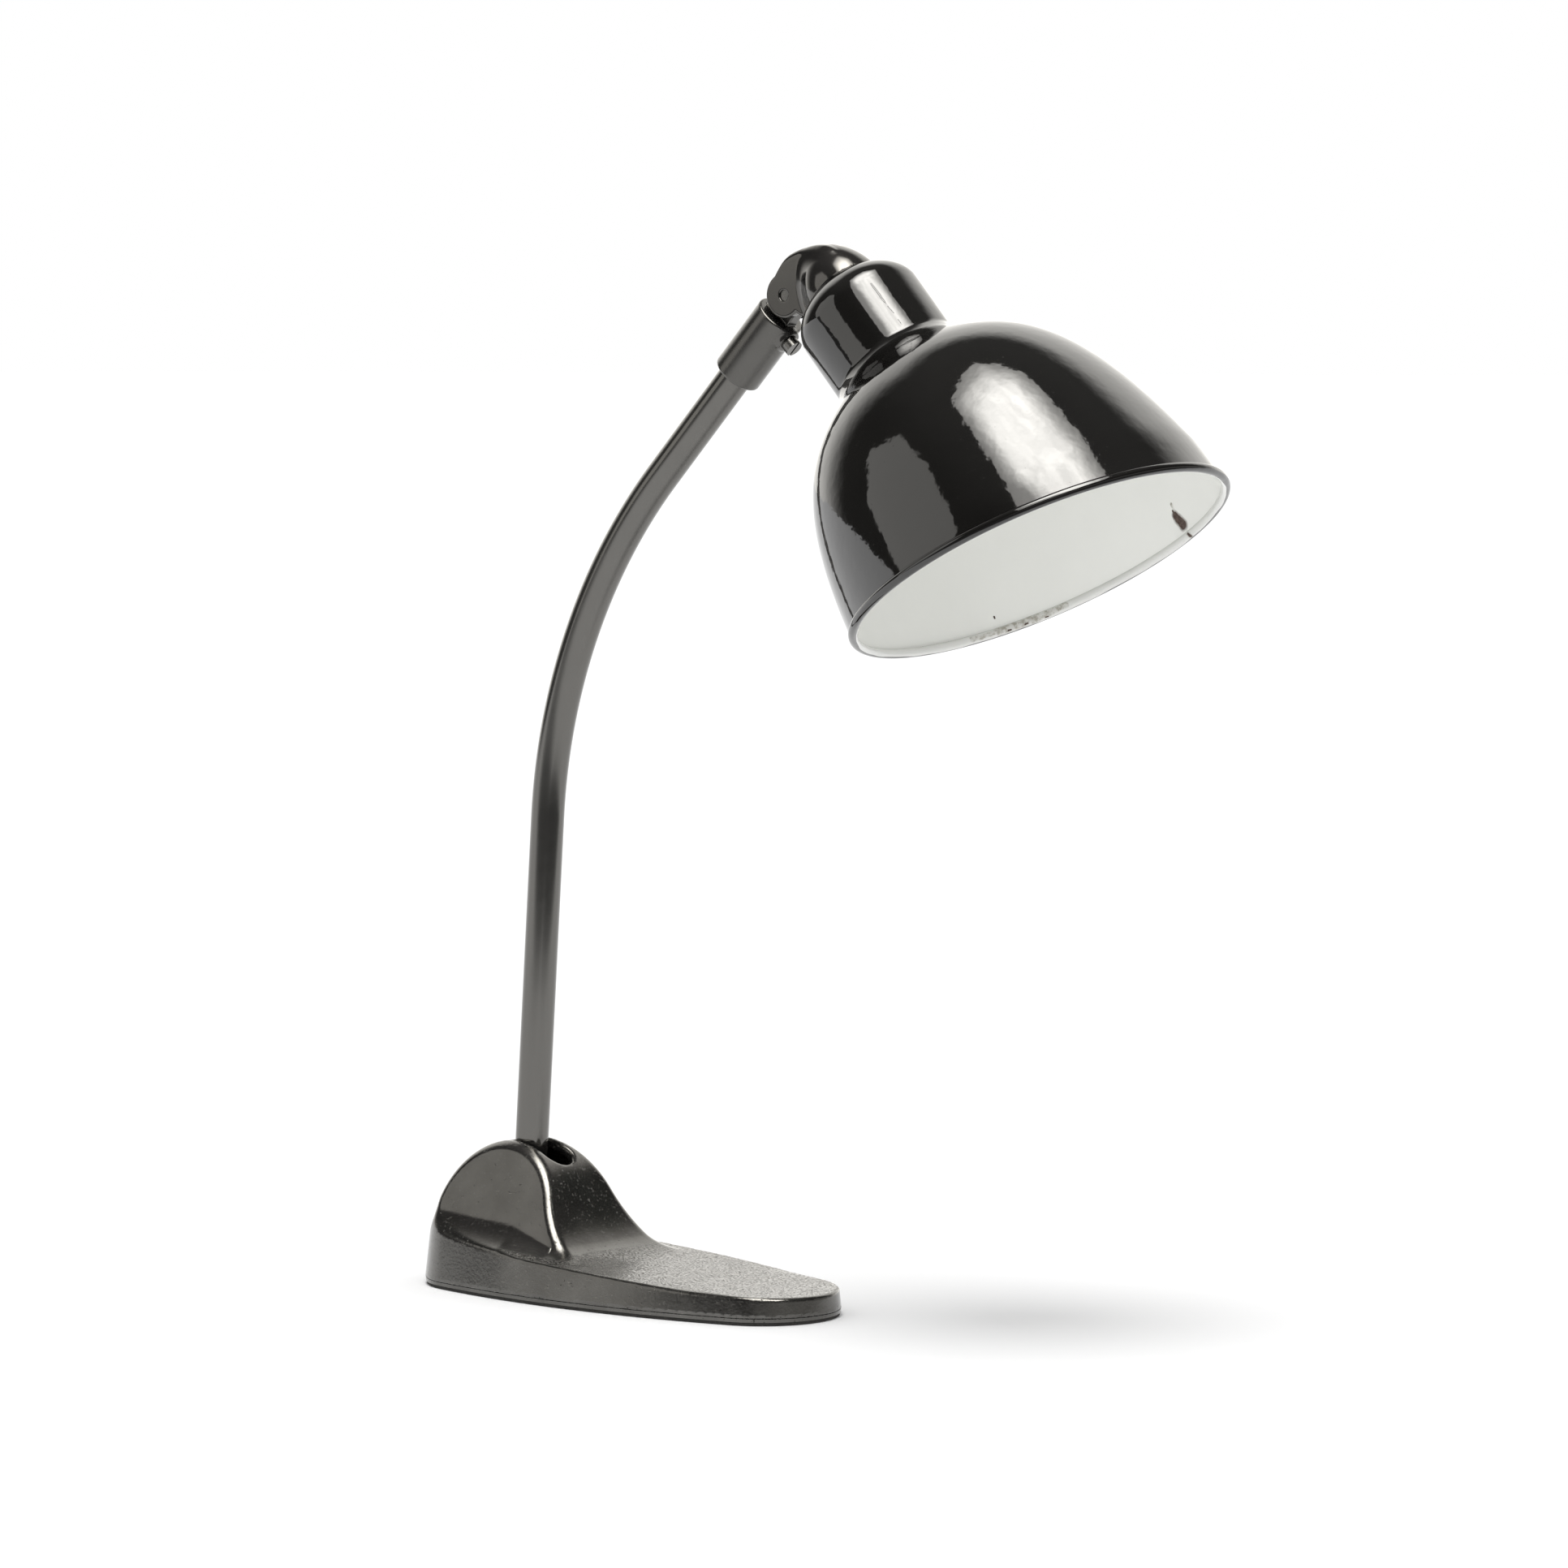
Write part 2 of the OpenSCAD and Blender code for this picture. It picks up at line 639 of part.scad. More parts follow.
// Outer line of the shade, as radius and height under the crown, from the crown to past the mouth
shade_line = concat(
    [for (a = [0:6:90]) [neck_r * sin(a), -crown_h * (1 - cos(a))]],
    [for (a = [0:bell_rise / 5:bell_rise + 1])
        [neck_r + fillet_r * (1 - cos(a)), -neck_length - fillet_r * sin(a)]],
    [for (i = [1:24]) bezier(
        [shoulder_r, -shoulder_s],
        [shoulder_r + shoulder_pull * sin(bell_rise), -shoulder_s - shoulder_pull * cos(bell_rise)],
        [bell_r - mouth_pull * sin(mouth_flare), -shade_length + mouth_pull * cos(mouth_flare)],
        [bell_r, -shade_length],
        i / 24
    )],
    [[bell_r, -shade_length - 40]]
);

// A line moved inwards by d, along the normal at each of its points
function moved_in(line, d) = [
    for (i = [0:len(line) - 1])
        let (
            a = line[max(i - 1, 0)],
            b = line[min(i + 1, len(line) - 1)],
            run = b - a,
            size = norm(run)
        )
        i == 0 ? [0, line[0][1] - d] : line[i] + d / size * [run[1], -run[0]]
];

// The shade's full form inside its outer line, grown by more
module shade_form(more) {
    line = moved_in(shade_line, -more);
    rotate_extrude() polygon(concat(line, [[0, line[len(line) - 1][1]]]));
}

// Place of the mouth's centre, and its frame with Z along the mouth's normal
mouth_ahead = 2;
module in_mouth_frame() {
    in_shade_frame() translate([mouth_ahead, 0, -shade_length]) rotate([0, mouth_tilt, 0]) children();
}

module shade() {
    color(black_enamel) {
        difference() {
            in_shade_frame() shade_form(0);
            in_shade_frame() shade_form(-shade_t);
            in_mouth_frame() translate([0, 0, -150]) cylinder(r = 150, h = 150);
            in_shade_frame() translate([0, 0, -10]) cylinder(r = nipple_r + 0.2, h = 20);
        }
        in_mouth_frame() rotate_extrude() translate([bell_r - 0.1, 0]) circle(r = rim_r, $fn = 32);
    }
}

/* Holder */
nipple_r = 5;
nipple_t = 1.6;
nipple_top = 8;
nipple_low = 20;
washer_t = 1.4;
washer_low = -shade_t - 1.6 - washer_t;
nut_t = 4;
holder_top = 11;
holder_r = 22;
holder_low = 56;
shell_r = 14.4;
shell_l = 26;
shell_t = 0.8;
contact_x = 9;

module nipple() {
    color(brass) in_shade_frame() translate([0, 0, -nipple_low])
        ring(nipple_r, nipple_r - nipple_t, nipple_low + nipple_top);
}

module crown_washer() {
    color(plain_steel) in_shade_frame() translate([0, 0, washer_low]) ring(11, nipple_r, washer_t);
}

module nipple_nut() {
    color(brass) in_shade_frame() translate([0, 0, washer_low - nut_t]) difference() {
        cylinder(r = 9, h = nut_t, $fn = 6);
        translate([0, 0, -1]) cylinder(r = nipple_r, h = nut_t + 2);
    }
}

module holder_body() {
    color(porcelain) in_shade_frame() difference() {
        union() {
            translate([0, 0, -holder_low]) cylinder(r = holder_r, h = holder_low - 22);
            translate([0, 0, -22]) cylinder(r1 = holder_r, r2 = 12, h = 22 - holder_top);
        }
        translate([0, 0, -holder_low - 1]) cylinder(r = shell_r, h = holder_low - 26 + 1);
        translate([0, 0, -25]) cylinder(r = nipple_r, h = 30);
        for (x = [-contact_x, contact_x]) translate([x, 0, -30]) cylinder(r = 1.5, h = 30);
    }
}

module screw_shell() {
    color(brass) in_shade_frame() translate([0, 0, -holder_low + 2]) ring(shell_r, shell_r - shell_t, shell_l);
}

module centre_contact() {
    color(brass) in_shade_frame() translate([0, 0, -28]) {
        difference() {
            translate([-11, -3, 1]) cube([14, 6, 1]);
            translate([-contact_x, 0, 0]) cylinder(r = 1.5, h = 3);
        }
        translate([0, 0, -0.6]) cylinder(r = 3, h = 1.7);
    }
}

module contact_screws() {
    color(brass) in_shade_frame() for (x = [-contact_x, contact_x]) translate([x, 0, -26]) {
        cylinder(r = 1.5, h = 8);
        translate([0, 0, -1]) cylinder(r = 1.5, h = 2);
    }
}

base_casting();
base_plate();
base_pad();
plate_screws();
pivot_bracket();
bracket_screws();
pivot_bolt();
friction_washers();
spring_washer();
pivot_nut();
terminal_block();
clamp_screws();
block_screw();
cord_bush();
arm_tube();
arm_foot();
foot_pin();
swivel_sleeve();
guide_screw();
knuckle();
knuckle_pin();
knuckle_washers();
nipple();
nipple_nut();
crown_washer();
shade();
holder_body();
screw_shell();
centre_contact();
contact_screws();
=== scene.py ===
import json
import math

import bpy
import numpy as np
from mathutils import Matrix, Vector


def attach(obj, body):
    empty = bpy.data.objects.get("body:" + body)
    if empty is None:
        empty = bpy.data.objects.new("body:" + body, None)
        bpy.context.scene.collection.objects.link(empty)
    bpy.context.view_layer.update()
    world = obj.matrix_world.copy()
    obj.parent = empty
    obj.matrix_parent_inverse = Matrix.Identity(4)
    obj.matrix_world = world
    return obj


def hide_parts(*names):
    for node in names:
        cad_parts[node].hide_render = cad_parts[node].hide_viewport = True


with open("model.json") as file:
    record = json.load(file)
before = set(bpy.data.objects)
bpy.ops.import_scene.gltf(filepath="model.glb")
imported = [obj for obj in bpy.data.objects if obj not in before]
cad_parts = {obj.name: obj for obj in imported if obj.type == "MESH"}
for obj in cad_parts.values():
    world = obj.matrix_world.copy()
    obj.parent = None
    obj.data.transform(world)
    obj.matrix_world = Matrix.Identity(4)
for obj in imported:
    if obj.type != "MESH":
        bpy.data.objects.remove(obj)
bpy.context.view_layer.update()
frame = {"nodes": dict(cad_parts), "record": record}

MM = 0.001

# Sizes of the foot, in millimetres like all sizes down to the materials
FOOT_LENGTH = 238.0
REAR_R = 39.0
NOSE_R = 37.0
FLANK_R = 388.0
FOOT_MID_H = 18.8
FOOT_SLOPE = math.radians(4)
FOOT_BOTTOM = 3.0
FOOT_DRAFT = 0.11
WALL_INSET = 0.03
FOOT_EDGE_R = 1.3
REAR_EDGE_R = 3.2
REAR_EDGE_FROM = 45.0
REAR_EDGE_FULL = 100.0
LOW_EDGE_R = 0.8
INLET_R = 5.0
INLET_H = 10.0
INLET_X = -100.0

# Sizes of the hump, its slot and its inner room
PIVOT = (-65.2, 34.0)
CROWN_R = 37.0
CHEEK_TOP = 14.6
CHEEK_SLOPE = 0.4
CHEEK_EDGE_R = 4.3
FRONT_ANGLE = math.radians(68)
FRONT_SWEEP_R = 60.0
HUMP_SIDE_FILLET_R = 13.0
HUMP_FRONT_FILLET_R = 6.0
HUMP_FILLET_CHANGE_X = (-48.0, -22.0)
SLOT_R = 8.9
SLOT_BACK = math.radians(0.7)
SLOT_FRONT = math.radians(29.2)
SLOT_RISE = 10.0
SLOT_EDGE_R = 1.6
ROOM_WALL = 5.0
ROOM_HALF = 10.0
ROOM_SLOPE = 0.3
ROOM_SPREAD = 10.0
ROOM_FLOOR = 9.0

# Sizes of the arm and the sleeve
LOWER_LEAN = math.radians(3.9)
UPPER_LEAN = math.radians(43.9)
LOWER_LENGTH = 193.2
BEND_R = 263.3
UPPER_LENGTH = 116.6
TUBE_R = 8.0
TUBE_WALL = 1.8
TUBE_START = 15.0
TUBE_END_GAP = 0.2
PIN_RISE = 12.2
SLEEVE_R = 11.6
SLEEVE_LENGTH = 38.0
SLEEVE_TOP = UPPER_LENGTH - PIN_RISE
SLEEVE_LOW = SLEEVE_TOP - SLEEVE_LENGTH
SLEEVE_EDGE_R = 0.9
SLEEVE_END_T = 2.0
BORE_PLAY = 0.05
BORE_LEAD_R = 8.6
BORE_LEAD_H = 0.6
BORE_LEAD_FILLET_R = 0.3
BOSS_DROP = 6.0
BOSS_AT = SLEEVE_TOP - BOSS_DROP
BOSS_R = 5.6
BOSS_REACH = 12.4
BOSS_EDGE_R = 0.6
BOSS_FILLET_R = 1.2
TONGUE_R = 7.9
TONGUE_HALF = 3.2
TONGUE_EDGE_R = 0.5
TONGUE_FILLET_R = 0.8

# Sizes of the knuckle, from its pin. The ridge's round grows along x and fades in along z.
CHEEK_HALF = 8.7
CHEEK_R = 10.5
CHEEK_POINTS = [
    (-6.5, 7.6), (-3.6, 12.0), (0.2, 16.9), (3.0, 19.3), (8.4, 21.5), (13.7, 22.7), (19, 23.2), (24.4, 22.6),
    (30, 18), (34, 4), (26, -8), (14, -10.5), (6.4, -8.1),
]
CORNER_CUT = 0.22
KNUCKLE_EDGE_R = 1.0
RIDGE_START_R = 2.0
RIDGE_START_X = (-2, 4)
RIDGE_GROWTH_R = 2.4
RIDGE_GROWTH_X = (3, 19)
RIDGE_Z = (6, 13)
CAP_ARC_R = 35.4
CAP_ARC_OFF = 16.7
CAP_ARC_BELOW = 8.4
CAP_TIP_R = 1.8
CAP_SKIRT = 6.0
CAP_GAP = 0.03
CREASE_TOP_R = 1.2
CREASE_SIDE_R = 4.4
CREASE_Y = (3, 8)
FORK_R = 12.3
FORK_HALF = 4.3
FORK_EDGE_R = 0.6
PIN_R = 2.5
PIN_PLAY = 0.1
PIN_DEPTH = 1.9
PIN_EDGE_R = 0.35

# Sizes of the shade
SHADE_LEAN = math.radians(42)
CROWN_AHEAD = 23.3
CROWN_BELOW = 13.5
CROWN_TIP_R = 0.6
CROWN_TIP_DROP = 0.004
NECK_R = 30.6
NECK_LENGTH = 49.0
CROWN_H = 20.0
FILLET_R = 5.0
BELL_RISE = math.radians(30)
SHOULDER_PULL = 26.0
MOUTH_PULL = 109.0
MOUTH_FLARE = math.radians(6.7)
BELL_R = 90.4
SHADE_LENGTH = 170.5
SHADE_SPARE = 40.0
MOUTH_TILT = math.radians(13.2)
MOUTH_AHEAD = 2.0
MOUTH_NEAREST = 120.0
MOUTH_FARTHEST = SHADE_LENGTH + SHADE_SPARE - 2
SHEET_T = 1.2
RIM_R = 2.2
RIM_INSET = 0.1
# angles round the bead's section, from straight outward over its top
RIM_BLACK_END = math.radians(104)
RIM_WHITE_END = math.radians(252)
RIM_BLACK_START = RIM_WHITE_END - 2 * math.pi
# size in degrees, count round the rim and start of each wave in the line between black and white
RIM_WAVES = ((5, 9, 1), (3, 23, 0), (2, 41, 2))

# Fineness of the meshes, and the boxes in which the surfaces are looked for
FOOT_STEP = 1.0
FOOT_BOX = ((-121.3, -49.3, 1.7), (121.3, 49.3, 73.3))
SLEEVE_STEP = 0.5
SLEEVE_BOX = ((-14, -14, 64), (16, 14, 127))
KNUCKLE_STEP = 0.4
KNUCKLE_BOX = ((-13, -19, -24), (47, 19, 27))
CROWN_STEPS = 16
TUBE_SIDES = 72
STRAIGHT_STEPS = 8
BEND_STEPS = 60
SHADE_STEPS = 28
SHADE_TURNS = 160
MOUTH_STEPS = 2000
RIM_SIDES = 14

# Moves that draw a vertex onto its surface: how many, and the longest and the slope's reach in steps
PULLS = 4
LONGEST_PULL = 0.4
SLOPE_REACH = 0.02
LEAST_STEEPNESS = 0.05


def onward(start, lean, length):
    """The point at a length from start, in a direction that leans forward by lean."""
    return (start[0] + length * math.sin(lean), start[1] + length * math.cos(lean))


def on_bend(lean):
    """The point of the arm's bend where the arm leans forward by lean."""
    return (
        BEND_START[0] + BEND_R * (math.cos(LOWER_LEAN) - math.cos(lean)),
        BEND_START[1] + BEND_R * (math.sin(lean) - math.sin(LOWER_LEAN)),
    )


BEND_START = onward(PIVOT, LOWER_LEAN, LOWER_LENGTH)
BEND_END = on_bend(UPPER_LEAN)
PIN = onward(BEND_END, UPPER_LEAN, UPPER_LENGTH)
CROWN = (
    PIN[0] + CROWN_AHEAD * math.cos(SHADE_LEAN) + CROWN_BELOW * math.sin(SHADE_LEAN),
    PIN[1] + CROWN_AHEAD * math.sin(SHADE_LEAN) - CROWN_BELOW * math.cos(SHADE_LEAN),
)


# Distance fields
def share_of_way(value, low, high):
    """0 up to low, 1 from high on, and even between them."""
    return np.clip((value - low) / (high - low), 0, 1)


def eased(value, low, high):
    """The share of the way with a soft start and a soft end."""
    t = share_of_way(value, low, high)
    return t * t * (3 - 2 * t)


def round_both(a, b, r):
    """Distance to what lies in both, with the edge between them rounded to radius r."""
    return np.minimum(-r, np.maximum(a, b)) + np.hypot(np.maximum(a + r, 0), np.maximum(b + r, 0))


def round_join(a, b, r):
    """Distance to what lies in either, with a fillet of radius r between them."""
    return np.maximum(r, np.minimum(a, b)) - np.hypot(np.maximum(r - a, 0), np.maximum(r - b, 0))


def polygon_distance(points, x, y):
    """Signed distance to a closed polygon, negative inside."""
    best = np.full(x.shape, 1e9)
    inside = np.zeros(x.shape, bool)
    n = len(points)
    for i in range(n):
        ax, ay = points[i]
        bx, by = points[(i + 1) % n]
        ex, ey = bx - ax, by - ay
        size = ex * ex + ey * ey
        if size < 1e-12:
            continue
        wx, wy = x - ax, y - ay
        t = np.clip((wx * ex + wy * ey) / size, 0, 1)
        best = np.minimum(best, (wx - ex * t) ** 2 + (wy - ey * t) ** 2)
        crosses = (ay > y) != (by > y)
        if abs(ey) > 1e-12:
            inside ^= crosses & (x < ax + (y - ay) * ex / ey)
    best = np.sqrt(best)
    return np.where(inside, -best, best)


def field_slope(field, vertices, tiny):
    """The field's slope at each vertex."""
    shifts = tiny * np.eye(3)
    return np.stack([(field(*(vertices + d).T) - field(*(vertices - d).T)) / (2 * tiny) for d in shifts], 1)


def pulled_on(field, vertices, step):
    """The vertices after a few short moves along the slope towards the surface."""
    for _ in range(PULLS):
        slope = field_slope(field, vertices, SLOPE_REACH * step)
        steepness = np.maximum((slope ** 2).sum(1), LEAST_STEEPNESS)
        move = -slope * (field(*vertices.T) / steepness)[:, None]
        size = np.linalg.norm(move, axis=1)
        move *= np.minimum(1, LONGEST_PULL * step / np.maximum(size, 1e-9))[:, None]
        vertices = vertices + move
    return vertices


def surface_net(field, box, step):
    """Vertices and quads where the field crosses zero, with each vertex drawn onto the surface."""
    low, high = box
    axes = [np.arange(low[i], high[i] + step, step) for i in range(3)]
    grid = np.meshgrid(*axes, indexing="ij")
    value = field(*grid)
    nx, ny, nz = value.shape
    total_at = np.zeros((nx - 1, ny - 1, nz - 1, 3))
    count = np.zeros((nx - 1, ny - 1, nz - 1))
    corners = [(i, j, k) for i in (0, 1) for j in (0, 1) for k in (0, 1)]
    for a in corners:
        for axis in range(3):
            if a[axis]:
                continue
            b = list(a)
            b[axis] = 1
            va = value[a[0]:nx - 1 + a[0], a[1]:ny - 1 + a[1], a[2]:nz - 1 + a[2]]
            vb = value[b[0]:nx - 1 + b[0], b[1]:ny - 1 + b[1], b[2]:nz - 1 + b[2]]
            cross = (va < 0) != (vb < 0)
            t = np.where(cross, va / np.where(cross, va - vb, 1), 0)
            for d in range(3):
                total_at[..., d] += np.where(cross, a[d] + (t if d == axis else 0), 0)
            count += cross
    used = count > 0
    index = np.full(used.shape, -1)
    index[used] = np.arange(used.sum())
    cell = np.argwhere(used)
    vertices = np.array(low) + (cell + total_at[used] / count[used][:, None]) * step
    sign = value < 0
    quads = []
    for axis in range(3):
        u, v = [d for d in range(3) if d != axis]
        first = [slice(0, -1) if d == axis else slice(1, -1) for d in range(3)]
        second = [slice(1, None) if d == axis else slice(1, -1) for d in range(3)]
        change = sign[tuple(first)] != sign[tuple(second)]
        at = np.argwhere(change)
        starts_inside = sign[tuple(first)][change]
        ring = []
        for du, dv in ((0, 0), (1, 0), (1, 1), (0, 1)):
            c = at.copy()
            c[:, u] += du
            c[:, v] += dv
            ring.append(index[c[:, 0], c[:, 1], c[:, 2]])
        ring = np.stack(ring, 1)
        flip = starts_inside if axis != 1 else ~starts_inside
        ring[~flip] = ring[~flip][:, ::-1]
        quads.append(ring)
    return pulled_on(field, vertices, step), np.concatenate(quads)


def new_piece(name, vertices, faces, body, material, replaces):
    """A smooth mesh, given in millimetres, that rides on a body in place of a part of the CAD."""
    mesh = bpy.data.meshes.new(name)
    mesh.from_pydata((np.asarray(vertices) * MM).tolist(), [], [list(map(int, f)) for f in faces])
    mesh.validate()
    mesh.polygons.foreach_set("use_smooth", [True] * len(mesh.polygons))
    mesh.update()
    piece = bpy.data.objects.new(name, mesh)
    bpy.context.scene.collection.objects.link(piece)
    mesh.materials.append(material)
    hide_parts(*replaces)
    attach(piece, body)


# Foot
FOOT_REAR_X = -FOOT_LENGTH / 2 + REAR_R
FOOT_NOSE_X = FOOT_LENGTH / 2 - NOSE_R
SPAN = FOOT_NOSE_X - FOOT_REAR_X
FLANK_DX = ((FLANK_R - REAR_R) ** 2 - (FLANK_R - NOSE_R) ** 2 + SPAN ** 2) / (2 * SPAN)
FLANK_X = FOOT_REAR_X + FLANK_DX
FLANK_Y = math.sqrt((FLANK_R - REAR_R) ** 2 - FLANK_DX ** 2)


def plan_distance(x, y):
    """Distance to the foot's outline in plan: two end arcs joined by flank arcs."""
    y = np.abs(y)
    angle = np.arctan2(y + FLANK_Y, x - FLANK_X)
    rear = math.atan2(FLANK_Y, FOOT_REAR_X - FLANK_X)
    nose = math.atan2(FLANK_Y, FOOT_NOSE_X - FLANK_X)
    d_rear = np.hypot(x - FOOT_REAR_X, y) - REAR_R
    d_nose = np.hypot(x - FOOT_NOSE_X, y) - NOSE_R
    d_flank = np.hypot(x - FLANK_X, y + FLANK_Y) - FLANK_R
    return np.where(angle > rear, d_rear, np.where(angle < nose, d_nose, d_flank))


def foot_wall(x, y, z):
    """The drafted side wall."""
    draft = math.atan(FOOT_DRAFT)
    return (plan_distance(x, y) + FOOT_DRAFT * (z - FOOT_BOTTOM)) * math.cos(draft) + WALL_INSET


def foot_top(x, y, z):
    """The top, which falls towards the nose."""
    return (z - FOOT_MID_H + x * math.tan(FOOT_SLOPE)) * math.cos(FOOT_SLOPE)


def hump_distance(x, y, z):
    """A round crown over the pivot, between two sloping cheeks."""
    dx, dz = x - PIVOT[0], z - PIVOT[1]
    profile = np.hypot(dx, dz) - CROWN_R
    # the front runs out to the foot on a hollow arc
    reach = CROWN_R + FRONT_SWEEP_R
    cx, cz = reach * math.sin(FRONT_ANGLE), reach * math.cos(FRONT_ANGLE)
    slope = np.where(dx < cx, FRONT_SWEEP_R - np.hypot(dx - cx, dz - cz), dz - cz + FRONT_SWEEP_R)
    ahead = dx * math.cos(FRONT_ANGLE) - dz * math.sin(FRONT_ANGLE) > 0
    profile = np.where(ahead, slope, profile)
    # the back drops straight down from the pivot's height
    profile = np.where((dz < 0) & (dx < 0), -dx - CROWN_R, profile)
    top = PIVOT[1] + CROWN_R
    cheek = (np.abs(y) - CHEEK_TOP - (top - z) * CHEEK_SLOPE) / math.hypot(1, CHEEK_SLOPE)
    return round_both(profile, cheek, CHEEK_EDGE_R)


def slot_distance(x, y, z):
    """The way of the arm through the crown."""
    dx, dz = x - PIVOT[0], z - PIVOT[1]
    angle = np.arctan2(dx, dz)
    off = angle - np.clip(angle, SLOT_BACK, SLOT_FRONT)
    reach = np.hypot(dx, dz)
    # the sine would fall again past a quarter turn
    across = reach * np.sin(np.clip(off, -1.5, 1.5))
    return np.maximum(np.hypot(y, across) - SLOT_R, SLOT_RISE - dz)


def room_distance(x, y, z):
    """The room inside the hump that the slot opens to."""
    ring = np.hypot(x - PIVOT[0], z - PIVOT[1]) - (CROWN_R - ROOM_WALL)
    side = np.abs(y) - ROOM_HALF - np.clip((PIVOT[1] + CROWN_R - z) * ROOM_SLOPE, 0, ROOM_SPREAD)
    return np.maximum(np.maximum(ring, side), ROOM_FLOOR - z)


def foot_shell_distance(x, y, z):
    """The whole casting, with its slot, its inner room and the cord's inlet."""
    # the hump's fillet is wide beside the cheeks and narrow in front
    narrower = HUMP_SIDE_FILLET_R - HUMP_FRONT_FILLET_R
    fillet = HUMP_SIDE_FILLET_R - narrower * share_of_way(x, *HUMP_FILLET_CHANGE_X)
    body = round_join(foot_top(x, y, z), hump_distance(x, y, z), fillet)
    # the top edge is rounder behind the hump than along the nose
    rounder = REAR_EDGE_R - FOOT_EDGE_R
    edge = FOOT_EDGE_R + rounder * eased(-x, REAR_EDGE_FROM, REAR_EDGE_FULL)
    body = round_both(body, foot_wall(x, y, z), edge)
    body = round_both(body, -slot_distance(x, y, z), SLOT_EDGE_R)
    body = np.maximum(body, -room_distance(x, y, z))
    inlet = np.maximum(np.hypot(y, z - INLET_H) - INLET_R, x - INLET_X)
    body = np.maximum(body, -inlet)
    return round_both(body, FOOT_BOTTOM - z, LOW_EDGE_R)


# Sleeve and knuckle
def sleeve_distance(x, y, z):
    """In the sleeve's own frame: z along the arm from the end of its bend."""
    around = np.hypot(x, y)
    barrel = round_both(around - SLEEVE_R, np.maximum(SLEEVE_LOW - z, z - SLEEVE_TOP), SLEEVE_EDGE_R)
    boss = round_both(np.hypot(y, z - BOSS_AT) - BOSS_R, np.maximum(x - BOSS_REACH, -x), BOSS_EDGE_R)
    body = round_join(barrel, boss, BOSS_FILLET_R)
    ear = np.where(z > UPPER_LENGTH, np.hypot(x, z - UPPER_LENGTH), np.abs(x)) - TONGUE_R
    ear = np.maximum(ear, SLEEVE_TOP - SLEEVE_END_T - z)
    tongue = round_both(ear, np.abs(y) - TONGUE_HALF, TONGUE_EDGE_R)
    body = round_join(body, tongue, TONGUE_FILLET_R)
    bore = np.maximum(around - TUBE_R - BORE_PLAY, z - SLEEVE_TOP + SLEEVE_END_T)
    lead = np.maximum(around - BORE_LEAD_R, z - SLEEVE_LOW - BORE_LEAD_H)
    return np.maximum(body, -round_join(bore, lead, BORE_LEAD_FILLET_R))


def smoothed(points, times=2):
    """Cuts the corners of a closed polygon, so that it becomes a smooth line."""
    points = [np.array(p, float) for p in points]
    for _ in range(times):
        out = []
        for a, b in zip(points, points[1:] + points[:1]):
            out += [a * (1 - CORNER_CUT) + b * CORNER_CUT, a * CORNER_CUT + b * (1 - CORNER_CUT)]
        points = out
    return [tuple(p) for p in points]


def shade_profile(steps):
    """Outer line of the shade: radius and distance below the crown."""
    line = [(NECK_R * math.sin(a), CROWN_H * (1 - math.cos(a))) for a in np.linspace(0, math.pi / 2, steps)]
    line += [(NECK_R, s) for s in np.linspace(CROWN_H, NECK_LENGTH, max(steps // 4, 2))[1:]]
    line += [
        (NECK_R + FILLET_R * (1 - math.cos(a)), NECK_LENGTH + FILLET_R * math.sin(a))
        for a in np.linspace(0, BELL_RISE, max(steps // 3, 3))[1:]
    ]
    # the bell is one curve, drawn by a pull at the shoulder and one at the mouth
    shoulder = np.array(line[-1])
    mouth = np.array([BELL_R, SHADE_LENGTH])
    pulls = [
        shoulder,
        shoulder + SHOULDER_PULL * np.array([math.sin(BELL_RISE), math.cos(BELL_RISE)]),
        mouth - MOUTH_PULL * np.array([math.sin(MOUTH_FLARE), math.cos(MOUTH_FLARE)]),
        mouth,
    ]
    for t in np.linspace(0, 1, steps * 2)[1:]:
        weights = ((1 - t) ** 3, 3 * t * (1 - t) ** 2, 3 * t * t * (1 - t), t ** 3)
        line.append(tuple(sum(w * p for w, p in zip(weights, pulls))))
    # it runs straight on, since the tilted mouth reaches below its own middle
    line.append((BELL_R, SHADE_LENGTH + SHADE_SPARE))
    return np.array(line)


CHEEK_LINE = smoothed(CHEEK_POINTS)


def shade_top_distance(around, along_axis):
    """Distance to the shade's crown and neck, taken as one solid from the crown down."""
    half = [(r, -s) for r, s in shade_profile(CROWN_STEPS) if s <= NECK_LENGTH]
    half += [(NECK_R, -SHADE_LENGTH)]
    return polygon_distance([(-r, s) for r, s in half[::-1]] + half, around, along_axis)


